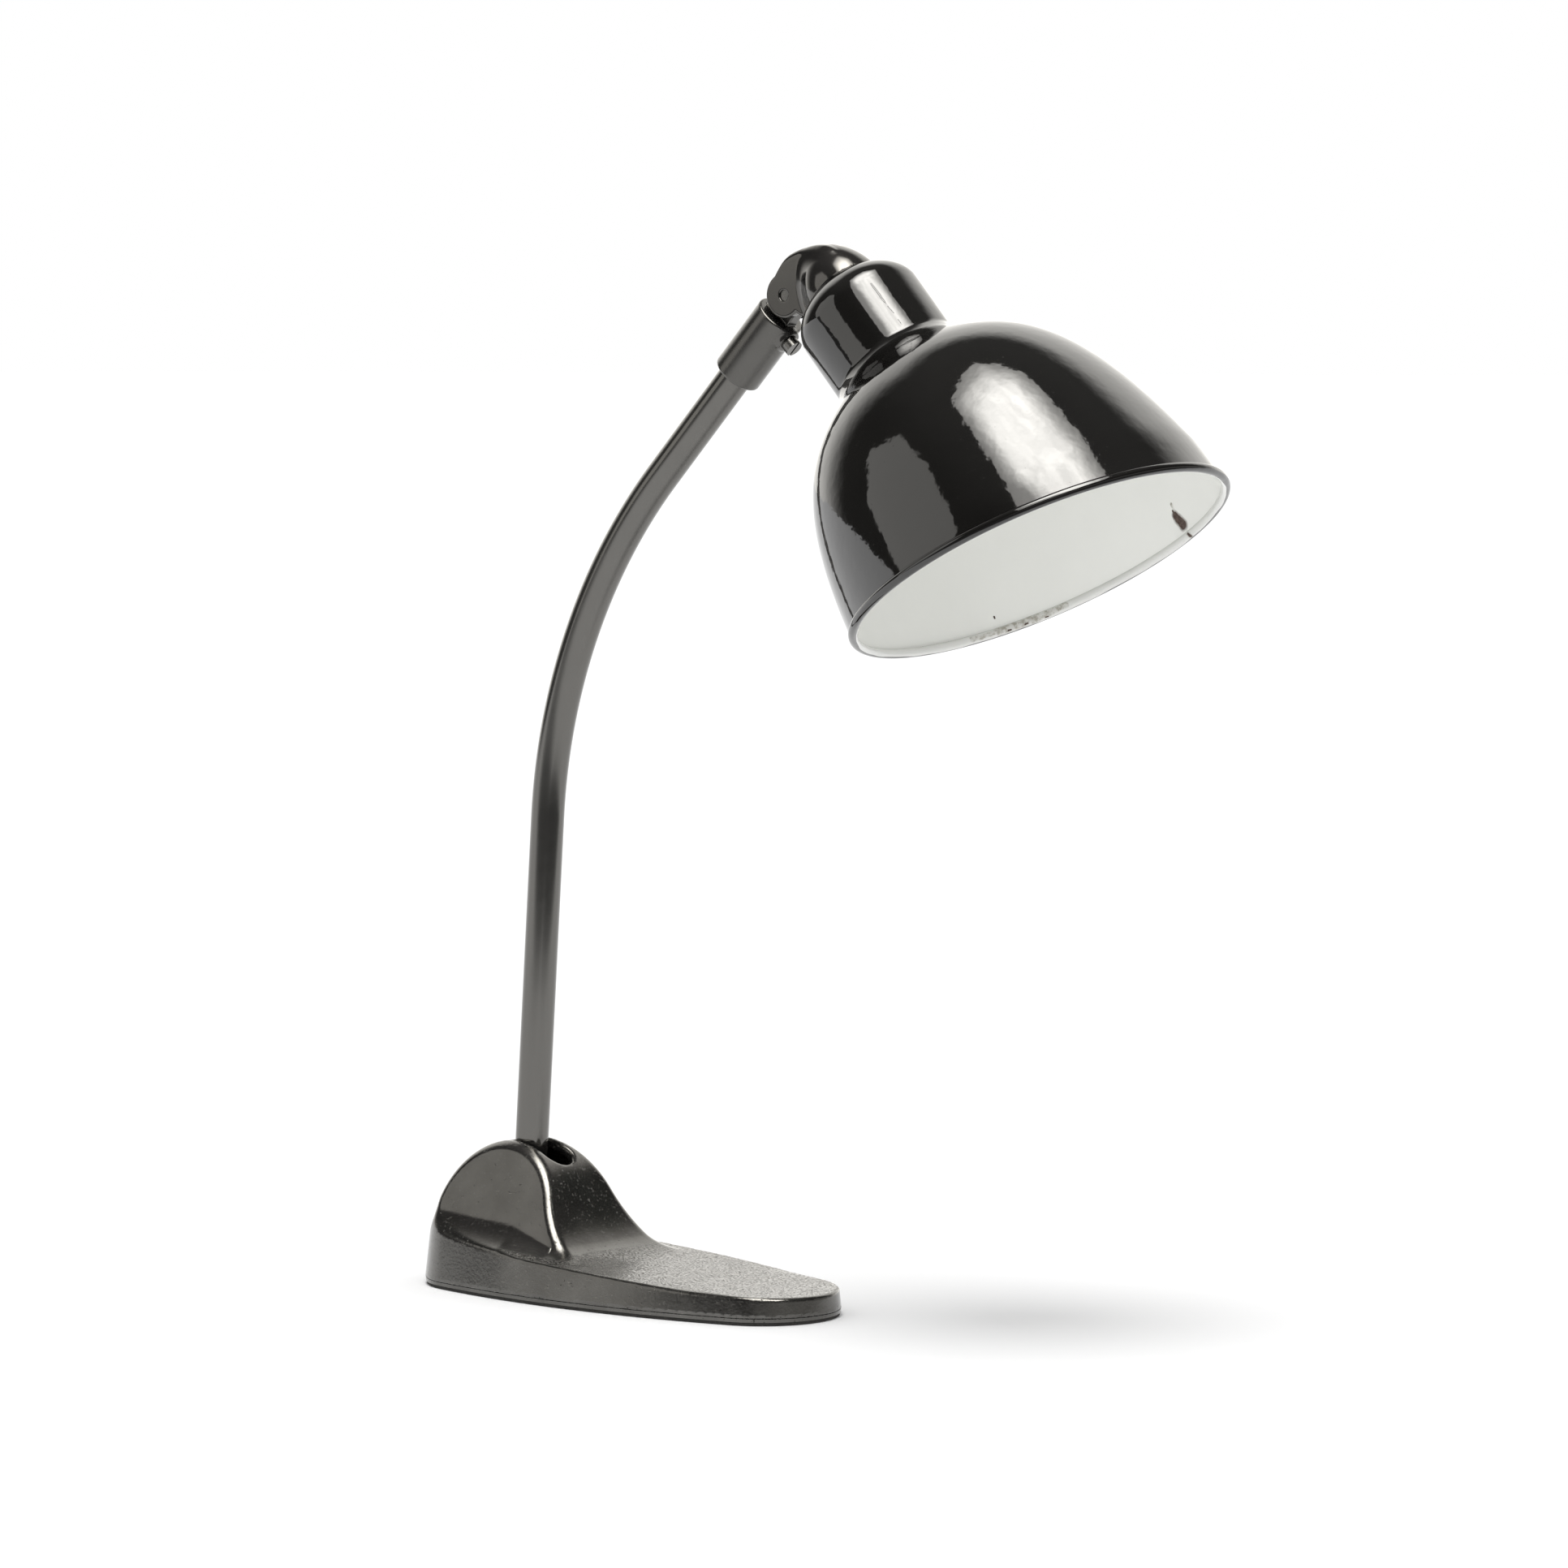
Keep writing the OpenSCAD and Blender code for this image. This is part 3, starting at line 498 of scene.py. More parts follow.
def knuckle_distance(x, y, z):
    """In the frame of the pin, with the shade's axis through the cap."""
    plate = polygon_distance(CHEEK_LINE, x, z)
    plate = np.minimum(plate, np.hypot(x, z) - CHEEK_R)
    # a crisp edge round the pin, a full round along the top
    ridge = RIDGE_START_R * eased(x, *RIDGE_START_X) + RIDGE_GROWTH_R * share_of_way(x, *RIDGE_GROWTH_X)
    cheeks = round_both(plate, np.abs(y) - CHEEK_HALF, KNUCKLE_EDGE_R + ridge * eased(z, *RIDGE_Z))
    dx, dz = x - (CROWN[0] - PIN[0]), z - (CROWN[1] - PIN[1])
    along_axis = -dx * math.sin(SHADE_LEAN) + dz * math.cos(SHADE_LEAN)
    around = np.hypot(dx * math.cos(SHADE_LEAN) + dz * math.sin(SHADE_LEAN), y)
    cap = np.hypot(np.hypot(around, CAP_TIP_R) + CAP_ARC_OFF, along_axis + CAP_ARC_BELOW) - CAP_ARC_R
    cap = np.maximum(cap, -CAP_SKIRT - along_axis)
    # the crease is tight at the ridge and wide where the cheek runs into the cap
    wider = CREASE_SIDE_R - CREASE_TOP_R
    body = round_join(cheeks, cap, CREASE_TOP_R + wider * eased(np.abs(y), *CREASE_Y))
    body = np.maximum(body, CAP_GAP - shade_top_distance(around, along_axis))
    fork = np.maximum(np.hypot(x, z) - FORK_R, np.abs(y) - FORK_HALF)
    body = round_both(body, -fork, FORK_EDGE_R)
    pin = np.maximum(np.hypot(x, z) - PIN_R - PIN_PLAY, CHEEK_HALF - PIN_DEPTH - np.abs(y))
    return round_both(body, -pin, PIN_EDGE_R)


def turned(vertices, lean, origin):
    """From a frame with z along a direction that leans forward by lean, to the frame around it."""
    x, y, z = np.asarray(vertices).T
    c, s = math.cos(lean), math.sin(lean)
    return np.stack([origin[0] + x * c + z * s, y, origin[1] - x * s + z * c], 1)


# Nodes of materials and world. Their lengths are in metres, and a noise's scale is in waves per metre.
def new_material(name):
    mat = bpy.data.materials.new(name)
    mat.use_nodes = True
    tree = mat.node_tree
    return mat, tree, tree.nodes["Principled BSDF"]


def coat(tree, shader, colour, rough, normal, metallic=0.0):
    """Links what every material here has: a colour, a roughness and a bumped normal."""
    tree.links.new(colour, shader.inputs["Base Color"])
    tree.links.new(rough, shader.inputs["Roughness"])
    tree.links.new(normal, shader.inputs["Normal"])
    shader.inputs["Metallic"].default_value = metallic


def place(tree):
    """Where a point lies on its piece."""
    return tree.nodes.new("ShaderNodeTexCoord").outputs["Object"]


def noise_at(tree, spot, scale, detail, rough):
    node = tree.nodes.new("ShaderNodeTexNoise")
    node.inputs["Scale"].default_value = scale
    node.inputs["Detail"].default_value = detail
    node.inputs["Roughness"].default_value = rough
    tree.links.new(spot, node.inputs["Vector"])
    return node.outputs["Fac"]


def noise(tree, scale, detail=4.0, rough=0.6, stretch=None):
    """Noise that is fixed to the piece. A stretch is a turn and a scale for each axis."""
    spot = place(tree)
    if stretch:
        mapping = tree.nodes.new("ShaderNodeMapping")
        mapping.inputs["Rotation"].default_value = stretch[0]
        mapping.inputs["Scale"].default_value = stretch[1]
        tree.links.new(spot, mapping.inputs["Vector"])
        spot = mapping.outputs["Vector"]
    return noise_at(tree, spot, scale, detail, rough)


def ramp(tree, share, stops):
    node = tree.nodes.new("ShaderNodeValToRGB")
    elements = node.color_ramp.elements
    while len(elements) < len(stops):
        elements.new(0.5)
    for element, (position, colour) in zip(elements, stops):
        element.position = position
        element.color = (*colour, 1)
    tree.links.new(share, node.inputs["Fac"])
    return node.outputs["Color"]


def scaled(tree, share, low, high, from_low=0.0, from_high=1.0):
    """Turns from_low into low and from_high into high, and stops there."""
    node = tree.nodes.new("ShaderNodeMapRange")
    node.inputs["From Min"].default_value = from_low
    node.inputs["From Max"].default_value = from_high
    node.inputs["To Min"].default_value = low
    node.inputs["To Max"].default_value = high
    tree.links.new(share, node.inputs["Value"])
    return node.outputs["Result"]


def shine(tree, value, centre, half):
    """A smooth step of value, from 0 at centre - half to 1 at centre + half."""
    node = tree.nodes.new("ShaderNodeMapRange")
    node.interpolation_type = "SMOOTHSTEP"
    node.inputs["From Min"].default_value = centre - half
    node.inputs["From Max"].default_value = centre + half
    tree.links.new(value, node.inputs["Value"])
    return node.outputs["Result"]


def math_node(tree, kind, *values):
    """One math node. Each value is a number or another node's output."""
    node = tree.nodes.new("ShaderNodeMath")
    node.operation = kind
    for i, value in enumerate(values):
        if isinstance(value, (int, float)):
            node.inputs[i].default_value = value
        else:
            tree.links.new(value, node.inputs[i])
    return node.outputs["Value"]


def folded(tree, kind, values):
    """The same operation with one value after the other."""
    out = values[0]
    for value in values[1:]:
        out = math_node(tree, kind, out, value)
    return out


def product(tree, *values):
    return folded(tree, "MULTIPLY", values)


def total(tree, *values):
    return folded(tree, "ADD", values)


def least(tree, *values):
    return folded(tree, "MINIMUM", values)


def most(tree, *values):
    return folded(tree, "MAXIMUM", values)


def less(tree, value):
    """What is left of 1."""
    return math_node(tree, "SUBTRACT", 1.0, value)


def plain_sum(tree, x, y, a, b, c):
    """The sum a x + b y + c."""
    return total(tree, product(tree, x, a), product(tree, y, b), c)


def mixed(tree, share, a, b):
    node = tree.nodes.new("ShaderNodeMix")
    node.data_type = "RGBA"
    tree.links.new(share, node.inputs["Factor"])
    for socket, value in ((node.inputs["A"], a), (node.inputs["B"], b)):
        if isinstance(value, tuple):
            socket.default_value = (*value, 1)
        else:
            tree.links.new(value, socket)
    return node.outputs["Result"]


def bump(tree, height, strength, distance, normal=None):
    node = tree.nodes.new("ShaderNodeBump")
    node.inputs["Strength"].default_value = strength
    node.inputs["Distance"].default_value = distance
    tree.links.new(height, node.inputs["Height"])
    if normal is not None:
        tree.links.new(normal, node.inputs["Normal"])
    return node.outputs["Normal"]


def vector_node(tree, kind, *values):
    """One vector node. Each value is a fixed vector or another node's output."""
    node = tree.nodes.new("ShaderNodeVectorMath")
    node.operation = kind
    for i, value in enumerate(values):
        if isinstance(value, (tuple, Vector)):
            node.inputs[i].default_value = value
        else:
            tree.links.new(value, node.inputs[i])
    return node


def along(tree, direction, axis):
    """How far a direction or a point lies along an axis."""
    return vector_node(tree, "DOT_PRODUCT", direction, axis).outputs["Value"]


STRAY_SCALE = 260
STROKE_SOFT = 0.25


def near_line(tree, a, b, width, stray):
    """1 within width of the line from a to b, given in millimetres, and 0 away from it."""
    a, b = Vector(a) * MM, Vector(b) * MM
    run = b - a
    spot = place(tree)
    if stray:
        wave = tree.nodes.new("ShaderNodeTexNoise")
        wave.inputs["Scale"].default_value = STRAY_SCALE
        tree.links.new(spot, wave.inputs["Vector"])
        # the wave's middle is 0.5, so the line moves along by as much as the wave adds there
        spread = (stray * 2 * MM,) * 3
        spot = vector_node(tree, "MULTIPLY_ADD", wave.outputs["Color"], spread, spot).outputs["Vector"]
        a += Vector((stray * MM,) * 3)
    off = vector_node(tree, "SUBTRACT", spot, a).outputs["Vector"]
    t = along(tree, off, run / max(run.length_squared, 1e-12))
    t = least(tree, most(tree, t, 0.0), 1.0)
    back = vector_node(tree, "SCALE", run)
    tree.links.new(t, back.inputs["Scale"])
    gap = vector_node(tree, "DISTANCE", off, back.outputs["Vector"]).outputs["Value"]
    return scaled(tree, gap, 1, 0, width * MM * (1 - STROKE_SOFT), width * MM * (1 + STROKE_SOFT))


# Materials. Tones are linear red, green and blue, and a ramp's tones come with their places.
PAINT_TONES = [(0.30, (0.100, 0.097, 0.091)), (0.52, (0.122, 0.119, 0.112)), (0.72, (0.146, 0.142, 0.134))]
PIT_TONE = (0.05, 0.048, 0.044)
BLACK_TONES = [(0.3, (0.0038, 0.0035, 0.0031)), (0.7, (0.0062, 0.0057, 0.0050))]
WHITE_LOW = np.array((0.885, 0.89, 0.86))
WHITE_HIGH = np.array((0.915, 0.92, 0.89))
# painted light on the white: its tone on the near side and on the far side
WHITE_PAINTED_LIGHT_SIDES = (0.985, 1.035)
SCUFF_TONE = (0.38, 0.36, 0.31)
RUST_TONES = [(0.35, (0.055, 0.030, 0.024)), (0.65, (0.12, 0.085, 0.07))]

# marks on the foot, on the neck and in the white, each with its two ends, half width and waviness
SEAM = ((-21.5, -32.9, 27.0), (-21.6, -36.0, 18.6), 0.5, 0.0)
CRACK = [
    ((161.7, -18.4, 480.2), (169.2, -18.3, 472.1), 0.34, 0.5),
    ((169.2, -18.3, 472.1), (180.4, -17.7, 460.7), 0.13, 0.5),
]
CHIPS = [
    ((255.6, 84.6, 376.9), (257.1, 85.0, 374.6), 0.6, 0.4),
    ((257.0, 85.0, 374.7), (259.4, 85.4, 372.1), 2.3, 0.6),
    ((258.6, 85.3, 372.9), (260.5, 85.6, 371.1), 3.0, 0.6),
    ((264.0, 85.4, 366.5), (265.2, 85.2, 365.4), 0.8, 0.9),
    ((176.5, 53.7, 327.5), (176.7, 53.9, 326.6), 0.4, 0.3),
    ((183.6, 55.2, 321.2), (184.4, 56.2, 321.6), 0.4, 0.5),
    ((188.6, 61.6, 323.9), (189.6, 62.5, 324.4), 0.4, 0.5),
    ((195.2, 68.7, 327.3), (196.0, 69.4, 327.8), 0.35, 0.5),
]
SCUFFS = [
    ((174.7, 39.7, 317.7), (181.5, 52.1, 321.2), 1.3, 1.2),
    ((181.5, 52.1, 321.2), (192.4, 66.2, 327.4), 2.3, 1.2),
    ((192.4, 66.2, 327.4), (202.2, 74.3, 332.8), 1.6, 1.2),
    ((263.6, 85.5, 366.8), (265.6, 85.1, 365.0), 1.4, 1.2),
    ((255.4, 83.5, 380.2), (256.2, 84.4, 377.2), 0.7, 1.2),
    ((255.3, 85.7, 373.1), (258.1, 86.2, 370.2), 0.4, 1.2),
]


def strokes(tree, marks):
    """1 on any of the marks."""
    return most(tree, *[near_line(tree, *mark) for mark in marks])


def foot_paint():
    """Dark lacquered casting: glossy, with a fine orange peel, clouds and pinholes."""
    mat, tree, shader = new_material("foot_paint")
    broad = noise(tree, 42, 5)
    fine = noise(tree, 620, 3)
    colour = ramp(tree, broad, PAINT_TONES)
    pit = scaled(tree, noise(tree, 700, 3, 0.55), 1, 0, 0.31, 0.35)
    # dust and wear lie on the faces that look up
    facing = along(tree, tree.nodes.new("ShaderNodeNewGeometry").outputs["Normal"], (0, 0, 1))
    upward = scaled(tree, facing, 0, 1, 0.90, 0.985)
    dust = product(tree, upward, scaled(tree, noise(tree, 900, 4, 0.7), 1, 0, 0.40, 0.50))
    waves = product(tree, upward, noise(tree, 170, 3))
    rough = total(
        tree,
        scaled(tree, broad, 0.12, 0.19, 0.3, 0.7),
        scaled(tree, fine, -0.03, 0.05),
        product(tree, dust, 0.35),
    )
    normal = bump(tree, fine, 0.4, 0.0001)
    normal = bump(tree, pit, 0.7, -0.0004, normal)
    normal = bump(tree, dust, 0.5, 0.0004, normal)
    normal = bump(tree, waves, 0.2, 0.0005, normal)
    normal = bump(tree, near_line(tree, *SEAM), 0.8, 0.0003, normal)
    normal = bump(tree, broad, 0.12, 0.0006, normal)
    coat(tree, shader, mixed(tree, pit, colour, PIT_TONE), rough, normal, 0.9)
    return mat


def satin_steel(name, tone, rough, lean=UPPER_LEAN):
    """Blackened steel, faintly drawn along its length."""
    mat, tree, shader = new_material(name)
    drawn = noise(tree, 300, 4, 0.65, ((0, lean, 0), (1, 1, 0.05)))
    broad = noise(tree, 45)
    low = tuple(v * 0.9 for v in tone)
    high = tuple(v * 1.1 for v in tone)
    lines, clouds = mixed(tree, drawn, low, high), mixed(tree, broad, low, high)
    colour = mixed(tree, scaled(tree, broad, 0.4, 0.6), lines, clouds)
    coat(tree, shader, colour, scaled(tree, broad, *rough, 0.3, 0.7), bump(tree, drawn, 0.05, 0.0001), 0.9)
    return mat


def black_enamel():
    """Fired black enamel: mirror gloss with a slow ripple, a few grains of dust and a crack in the neck."""
    mat, tree, shader = new_material("black_enamel")
    colour = ramp(tree, noise(tree, 30), BLACK_TONES)
    dust = scaled(tree, noise(tree, 900, 2, 0.4), 0, 1, 0.76, 0.82)
    rough = total(tree, scaled(tree, noise(tree, 60), 0.035, 0.07), product(tree, dust, 0.25))
    shader.inputs["IOR"].default_value = 1.75
    ripple = total(tree, noise(tree, 120, 1, 0.4), product(tree, noise(tree, 330, 1, 0.4), 0.3))
    normal = bump(tree, ripple, 1.0, 0.0001)
    normal = bump(tree, strokes(tree, CRACK), 1.0, 0.0008, normal)
    coat(tree, shader, colour, rough, bump(tree, dust, 0.2, 0.0001, normal))
    return mat


def white_enamel(name, share):
    """Fired white enamel, chipped near the rim, with painted light: the far side a little paler and the near
    side a little darker.
    """
    mat, tree, shader = new_material(name)
    cloud = noise(tree, 18)
    # a share below 1 gives a darker copy of the white, painted shade
    low, high = WHITE_LOW * share, WHITE_HIGH * share
    # painted light: the far side of the shade a little paler than the near side
    sides = [ramp(tree, cloud, [(0.3, tuple(low * side)), (0.7, tuple(high * side))]) for side in WHITE_PAINTED_LIGHT_SIDES]
    across = scaled(tree, along(tree, place(tree), (0, 1, 0)), 0, 1, 0.0, BELL_R * MM)
    tone = mixed(tree, across, *sides)
    patchy = scaled(tree, noise(tree, 380, 4, 0.65), 0.25, 1.0, 0.42, 0.60)
    tone = mixed(tree, product(tree, strokes(tree, SCUFFS), patchy), tone, SCUFF_TONE)
    chipped = strokes(tree, CHIPS)
    rust = ramp(tree, noise(tree, 900, 3), RUST_TONES)
    rough = most(tree, scaled(tree, noise(tree, 70), 0.12, 0.22), product(tree, chipped, 0.7))
    normal = bump(tree, chipped, 0.8, -0.0004)
    normal = bump(tree, noise(tree, 60, 3), 0.08, 0.0006, normal)
    coat(tree, shader, mixed(tree, chipped, tone, rust), rough, normal)
    return mat


def plain_metal(name, tone, rough=(0.25, 0.42)):
    """Bare metal, a little cloudy."""
    mat, tree, shader = new_material(name)
    low = tuple(v * 0.78 for v in tone)
    colour = ramp(tree, noise(tree, 150), [(0.3, low), (0.7, tone)])
    grain = bump(tree, noise(tree, 900, 2), 0.12, 0.0001)
    coat(tree, shader, colour, scaled(tree, noise(tree, 700, 3), *rough), grain, 1.0)
    return mat


def dull(name, low, high, rough, scale, depth):
    """A material that isn't metal, from one tone to another, with a grain of its own scale."""
    mat, tree, shader = new_material(name)
    colour = ramp(tree, noise(tree, scale, 5), [(0.3, low), (0.7, high)])
    grain = bump(tree, noise(tree, scale * 4, 3), 0.4, depth)
    coat(tree, shader, colour, scaled(tree, noise(tree, scale * 2, 3), *rough), grain)
    return mat


FOOT_PAINT = foot_paint()
ARM_STEEL = satin_steel("arm_steel", (0.140, 0.136, 0.128), (0.11, 0.16), 0.35)
SLEEVE_STEEL = satin_steel("sleeve_steel", (0.110, 0.107, 0.101), (0.17, 0.24))
KNUCKLE_METAL = satin_steel("knuckle_metal", (0.104, 0.101, 0.096), (0.09, 0.14))
BLACK = black_enamel()
WHITE = white_enamel("white_enamel", 1.0)
# a darker copy of the white enamel for the bead's lip, painted shade
LIP_WHITE_PAINTED_SHADE = white_enamel("lip_enamel_painted_shade", 0.82)
STEEL = plain_metal("plain_steel", (0.20, 0.196, 0.187), (0.22, 0.36))
BRASS = plain_metal("brass", (0.60, 0.46, 0.22))
PORCELAIN = dull("porcelain", (0.66, 0.64, 0.58), (0.76, 0.74, 0.69), (0.12, 0.25), 40, 0.0002)
FELT = dull("felt", (0.018, 0.017, 0.016), (0.045, 0.043, 0.04), (0.85, 0.98), 900, 0.0004)
FIBRE = dull("fibre", (0.16, 0.06, 0.03), (0.26, 0.11, 0.05), (0.6, 0.8), 400, 0.0002)
BAKELITE = dull("bakelite", (0.016, 0.011, 0.009), (0.032, 0.022, 0.017), (0.18, 0.35), 120, 0.0001)

SLOT_MATERIALS = {
    "plain_steel": STEEL,
    "brass": BRASS,
    "porcelain": PORCELAIN,
    "felt": FELT,
    "fibre": FIBRE,
    "bakelite": BAKELITE,
    "foot_paint": FOOT_PAINT,
    "arm_steel": ARM_STEEL,
    "knuckle_metal": KNUCKLE_METAL,
    "shade_enamel": BLACK,
}
for part in frame["record"]["subparts"]:
    mesh = frame["nodes"][part["node"]].data
    mesh.materials.clear()
    mesh.materials.append(SLOT_MATERIALS[part["material_slot"]])
# the plate's rim shows below the foot and is painted with it
frame["nodes"]["base_plate"].data.materials[0] = FOOT_PAINT


# Pieces
def make_foot():
    vertices, faces = surface_net(foot_shell_distance, FOOT_BOX, FOOT_STEP)
    new_piece("foot_shell", vertices, faces, "foot", FOOT_PAINT, ["base_casting"])


def arm_stations():
    """Points of the tube's axis from its foot to its end, each with the lean there."""
    stations = []
    for t in np.linspace(TUBE_START, LOWER_LENGTH, STRAIGHT_STEPS):
        stations.append((*onward(PIVOT, LOWER_LEAN, t), LOWER_LEAN))
    for lean in np.linspace(LOWER_LEAN, UPPER_LEAN, BEND_STEPS)[1:]:
        stations.append((*on_bend(lean), lean))
    for t in np.linspace(0, SLEEVE_TOP - SLEEVE_END_T - TUBE_END_GAP, STRAIGHT_STEPS)[1:]:
        stations.append((*onward(BEND_END, UPPER_LEAN, t), UPPER_LEAN))
    return stations


def make_arm():
    """The tube, with its outer wall first, then its bore, then the two cut ends."""
    sides = TUBE_SIDES
    stations = arm_stations()
    vertices, faces = [], []
    for r in (TUBE_R, TUBE_R - TUBE_WALL):
        for x, z, lean in stations:
            for k in range(sides):
                a = 2 * math.pi * k / sides
                across = r * math.cos(a)
                vertices.append((x + across * math.cos(lean), r * math.sin(a), z - across * math.sin(lean)))
    bore = len(stations) * sides
    last = bore - sides
    for i in range(len(stations) - 1):
        for k in range(sides):
            a, b = i * sides + k, i * sides + (k + 1) % sides
            faces.append((a, b, b + sides, a + sides))
            faces.append((bore + a + sides, bore + b + sides, bore + b, bore + a))
    for k in range(sides):
        a, b = k, (k + 1) % sides
        faces.append((b, a, bore + a, bore + b))
        faces.append((last + a, last + b, bore + last + b, bore + last + a))
    new_piece("arm", vertices, faces, "arm", ARM_STEEL, ["arm_tube"])


def make_sleeve():
    vertices, faces = surface_net(sleeve_distance, SLEEVE_BOX, SLEEVE_STEP)
    vertices = turned(vertices, UPPER_LEAN, BEND_END)
    new_piece("sleeve", vertices, faces, "swivel", SLEEVE_STEEL, ["swivel_sleeve"])


def make_knuckle():
    vertices, faces = surface_net(knuckle_distance, KNUCKLE_BOX, KNUCKLE_STEP)
    vertices = vertices + np.array([PIN[0], 0, PIN[1]])
    new_piece("knuckle_head", vertices, faces, "head", KNUCKLE_METAL, ["knuckle"])


# Shade
def mouth_reach(angle, line):
    """How far below the crown the sheet meets the mouth's plane, in the direction angle round the axis."""
    s = np.linspace(MOUTH_NEAREST, MOUTH_FARTHEST, MOUTH_STEPS)
    r = np.interp(s, line[:, 1], line[:, 0])
    # height over the mouth's plane, positive on the crown's side
    across = r * math.cos(angle) - MOUTH_AHEAD
    height = (SHADE_LENGTH - s) * math.cos(MOUTH_TILT) + across * math.sin(MOUTH_TILT)
    return s[np.argmin(np.abs(height))]


def shade_surface(line):
    """Columns of points from the crown down to the mouth, in the shade's frame, one for each turn."""
    fixed = NECK_LENGTH + FILLET_R
    grid = []
    for k in range(SHADE_TURNS):
        a = 2 * math.pi * k / SHADE_TURNS
        reach = mouth_reach(a, line)
        column = []
        for r, s in line[:-1]:
            if s > fixed:
                s = fixed + (s - fixed) * (reach - fixed) / (SHADE_LENGTH - fixed)
                r = float(np.interp(s, line[:, 1], line[:, 0]))
            column.append((r * math.cos(a), r * math.sin(a), -s))
        grid.append(column)
    return np.array(grid)


def shade_faces(rows, flip):
    """Four-sided faces between neighbouring columns of so many rows."""
    faces = []
    for k in range(SHADE_TURNS):
        m = (k + 1) % SHADE_TURNS
        for i in range(rows - 1):
            face = (k * rows + i, k * rows + i + 1, m * rows + i + 1, m * rows + i)
            faces.append(face[::-1] if flip else face)
    return faces


def in_shade(points):
    """From the shade's frame, whose z runs up along its axis from the crown, to the row frame."""
    return turned(points, -SHADE_LEAN, CROWN)


def moved_in(line, d):
    """The line a distance d inside the given one, with its first point on the axis."""
    out = [(0.0, line[0][1] + d)]
    for i in range(1, len(line)):
        run = line[min(i + 1, len(line) - 1)] - line[i - 1]
        r, s = line[i] - d * np.array([run[1], -run[0]]) / np.linalg.norm(run)
        out.append((max(r, 0.0), s))
    return np.array(out)


def make_sheet(name, line, tip_drop, material, flip):
    """One side of the sheet. A tiny hole at the crown's tip keeps its faces four-sided."""
    line[0] = (CROWN_TIP_R, tip_drop)
    grid = shade_surface(line)
    faces = shade_faces(grid.shape[1], flip)
    new_piece(name, in_shade(grid.reshape(-1, 3)), faces, "head", material, ["shade"])


def make_bead(name, material, low, high, wavy_row):
    """A strip of the rolled bead round the mouth, from the angle low to high round its section."""
    sides = RIM_SIDES
    points, faces = [], []
    for k in range(SHADE_TURNS):
        a = 2 * math.pi * k / SHADE_TURNS
        stray = math.radians(sum(size * math.sin(count * a + start) for size, count, start in RIM_WAVES))
        for j in range(sides):
            b = low + (high - low) * j / (sides - 1) + stray * (j == wavy_row)
            r = BELL_R - RIM_INSET + RIM_R * math.cos(b)
            points.append((r * math.cos(a), r * math.sin(a), RIM_R * math.sin(b)))
    points = turned(points, MOUTH_TILT, (MOUTH_AHEAD, -SHADE_LENGTH))
    for k in range(SHADE_TURNS):
        m = (k + 1) % SHADE_TURNS
        for j in range(sides - 1):
            faces.append((k * sides + j, m * sides + j, m * sides + j + 1, k * sides + j + 1))
    new_piece(name, in_shade(points), faces, "head", material, ["shade"])


def make_shade():
    """Black outside and white inside, on the sheet and on the bead."""
    make_sheet("shade_shell", shade_profile(SHADE_STEPS), CROWN_TIP_DROP, BLACK, True)
    make_sheet("shade_lining", moved_in(shade_profile(SHADE_STEPS), SHEET_T), SHEET_T, WHITE, False)
    make_bead("shade_rim", BLACK, RIM_BLACK_START, RIM_BLACK_END, 0)
    # the bead's lip in the darker white, painted shade
    make_bead("shade_rim_lip", LIP_WHITE_PAINTED_SHADE, RIM_BLACK_END, RIM_WHITE_END, RIM_SIDES - 1)


make_foot()
make_arm()
make_sleeve()
make_knuckle()
make_shade()


# Stage, light and camera, in metres
PHOTO_PIXELS = 1932
FOCAL_PIXELS = 7817
SENSOR = 36
CAMERA_AT = (1.9682, -2.2641, 0.452)
# in degrees
CAMERA_DIP = 3.945
CAMERA_TURN = 39.603

# the studio's directions: the photo's right, and ahead towards its camera
STUDIO_RIGHT = (0.7705, 0.6375, 0)
STUDIO_AHEAD = (0.6375, -0.7705, 0)
STUDIO_TINT = (1, 0.98, 0.935)

# edges of the box overhead and of the card at the left: a, b and c of the line where a x + b y + c is nothing
BOX_EDGES = (
    (1, 0, 0.45),
    (0, 1, 0.24),
    (0.73, 0.69, 0.26),
    (-0.86, 0.5, 0.24),
    (-1, 0, 0.75),
    (0, -0.4, 0.8),
)
BOX_FADE = (-0.9, 1, 0)
CARD_TURN = math.radians(-79)
CARD_RISE = math.radians(17)
CARD_EDGES = (
    (-1, 0, math.radians(22)),
    (0, -1, math.radians(20.5)),
    (-0.707, -0.707, math.radians(20.5)),
)

# middle and half width of the soft steps
BOX_EDGE = (0, 0.008)
BOX_CORE = (0.135, 0.135)
BOX_FADE_STEP = (0.85, 0.22)
BOX_LOW_END = (0.3, 0.1)
CARD_EDGE = (0, 0.01)
WALL_SIDES = (math.radians(131), math.radians(14))
WALL_TOP = (math.radians(47), math.radians(8))
CEILING = (0.72, 0.22)
HAZE_TOP = (math.radians(9), math.radians(6))
HAZE_SIDE = (0.0, 0.5)
TABLE_END = (0.86, 0.12)

# strengths
BOX_CLOTH = (7.8, 10.8)
BOX_EDGE_GLOW = 2.3
BOX_FADE_SHARE = 0.95
CARD_GLOW = 0.95
WALL_GLOW = 1.5
CEILING_GLOW = 0.09
DARK_GLOW = 0.065
HAZE_GLOW = 0.42
FILL = 0.68

SUN_STRENGTH = 0.40 * math.pi
SUN_ANGLE = math.radians(24)
SUN_WAY = (-0.05, 0.075, -0.41)
FLOOR_HALF = 80
FLOOR_DROP = 0.0003
FLOOR_SEEN = (1.03, 1.03, 1.03)
FLOOR_LIT = (1.0, 1.0, 1.0)
TABLE_LIT = (1.13, 1.13, 1.13)
TABLE_BEYOND = (0.10, 0.10, 0.10)
TABLE_SKEW = 0.7


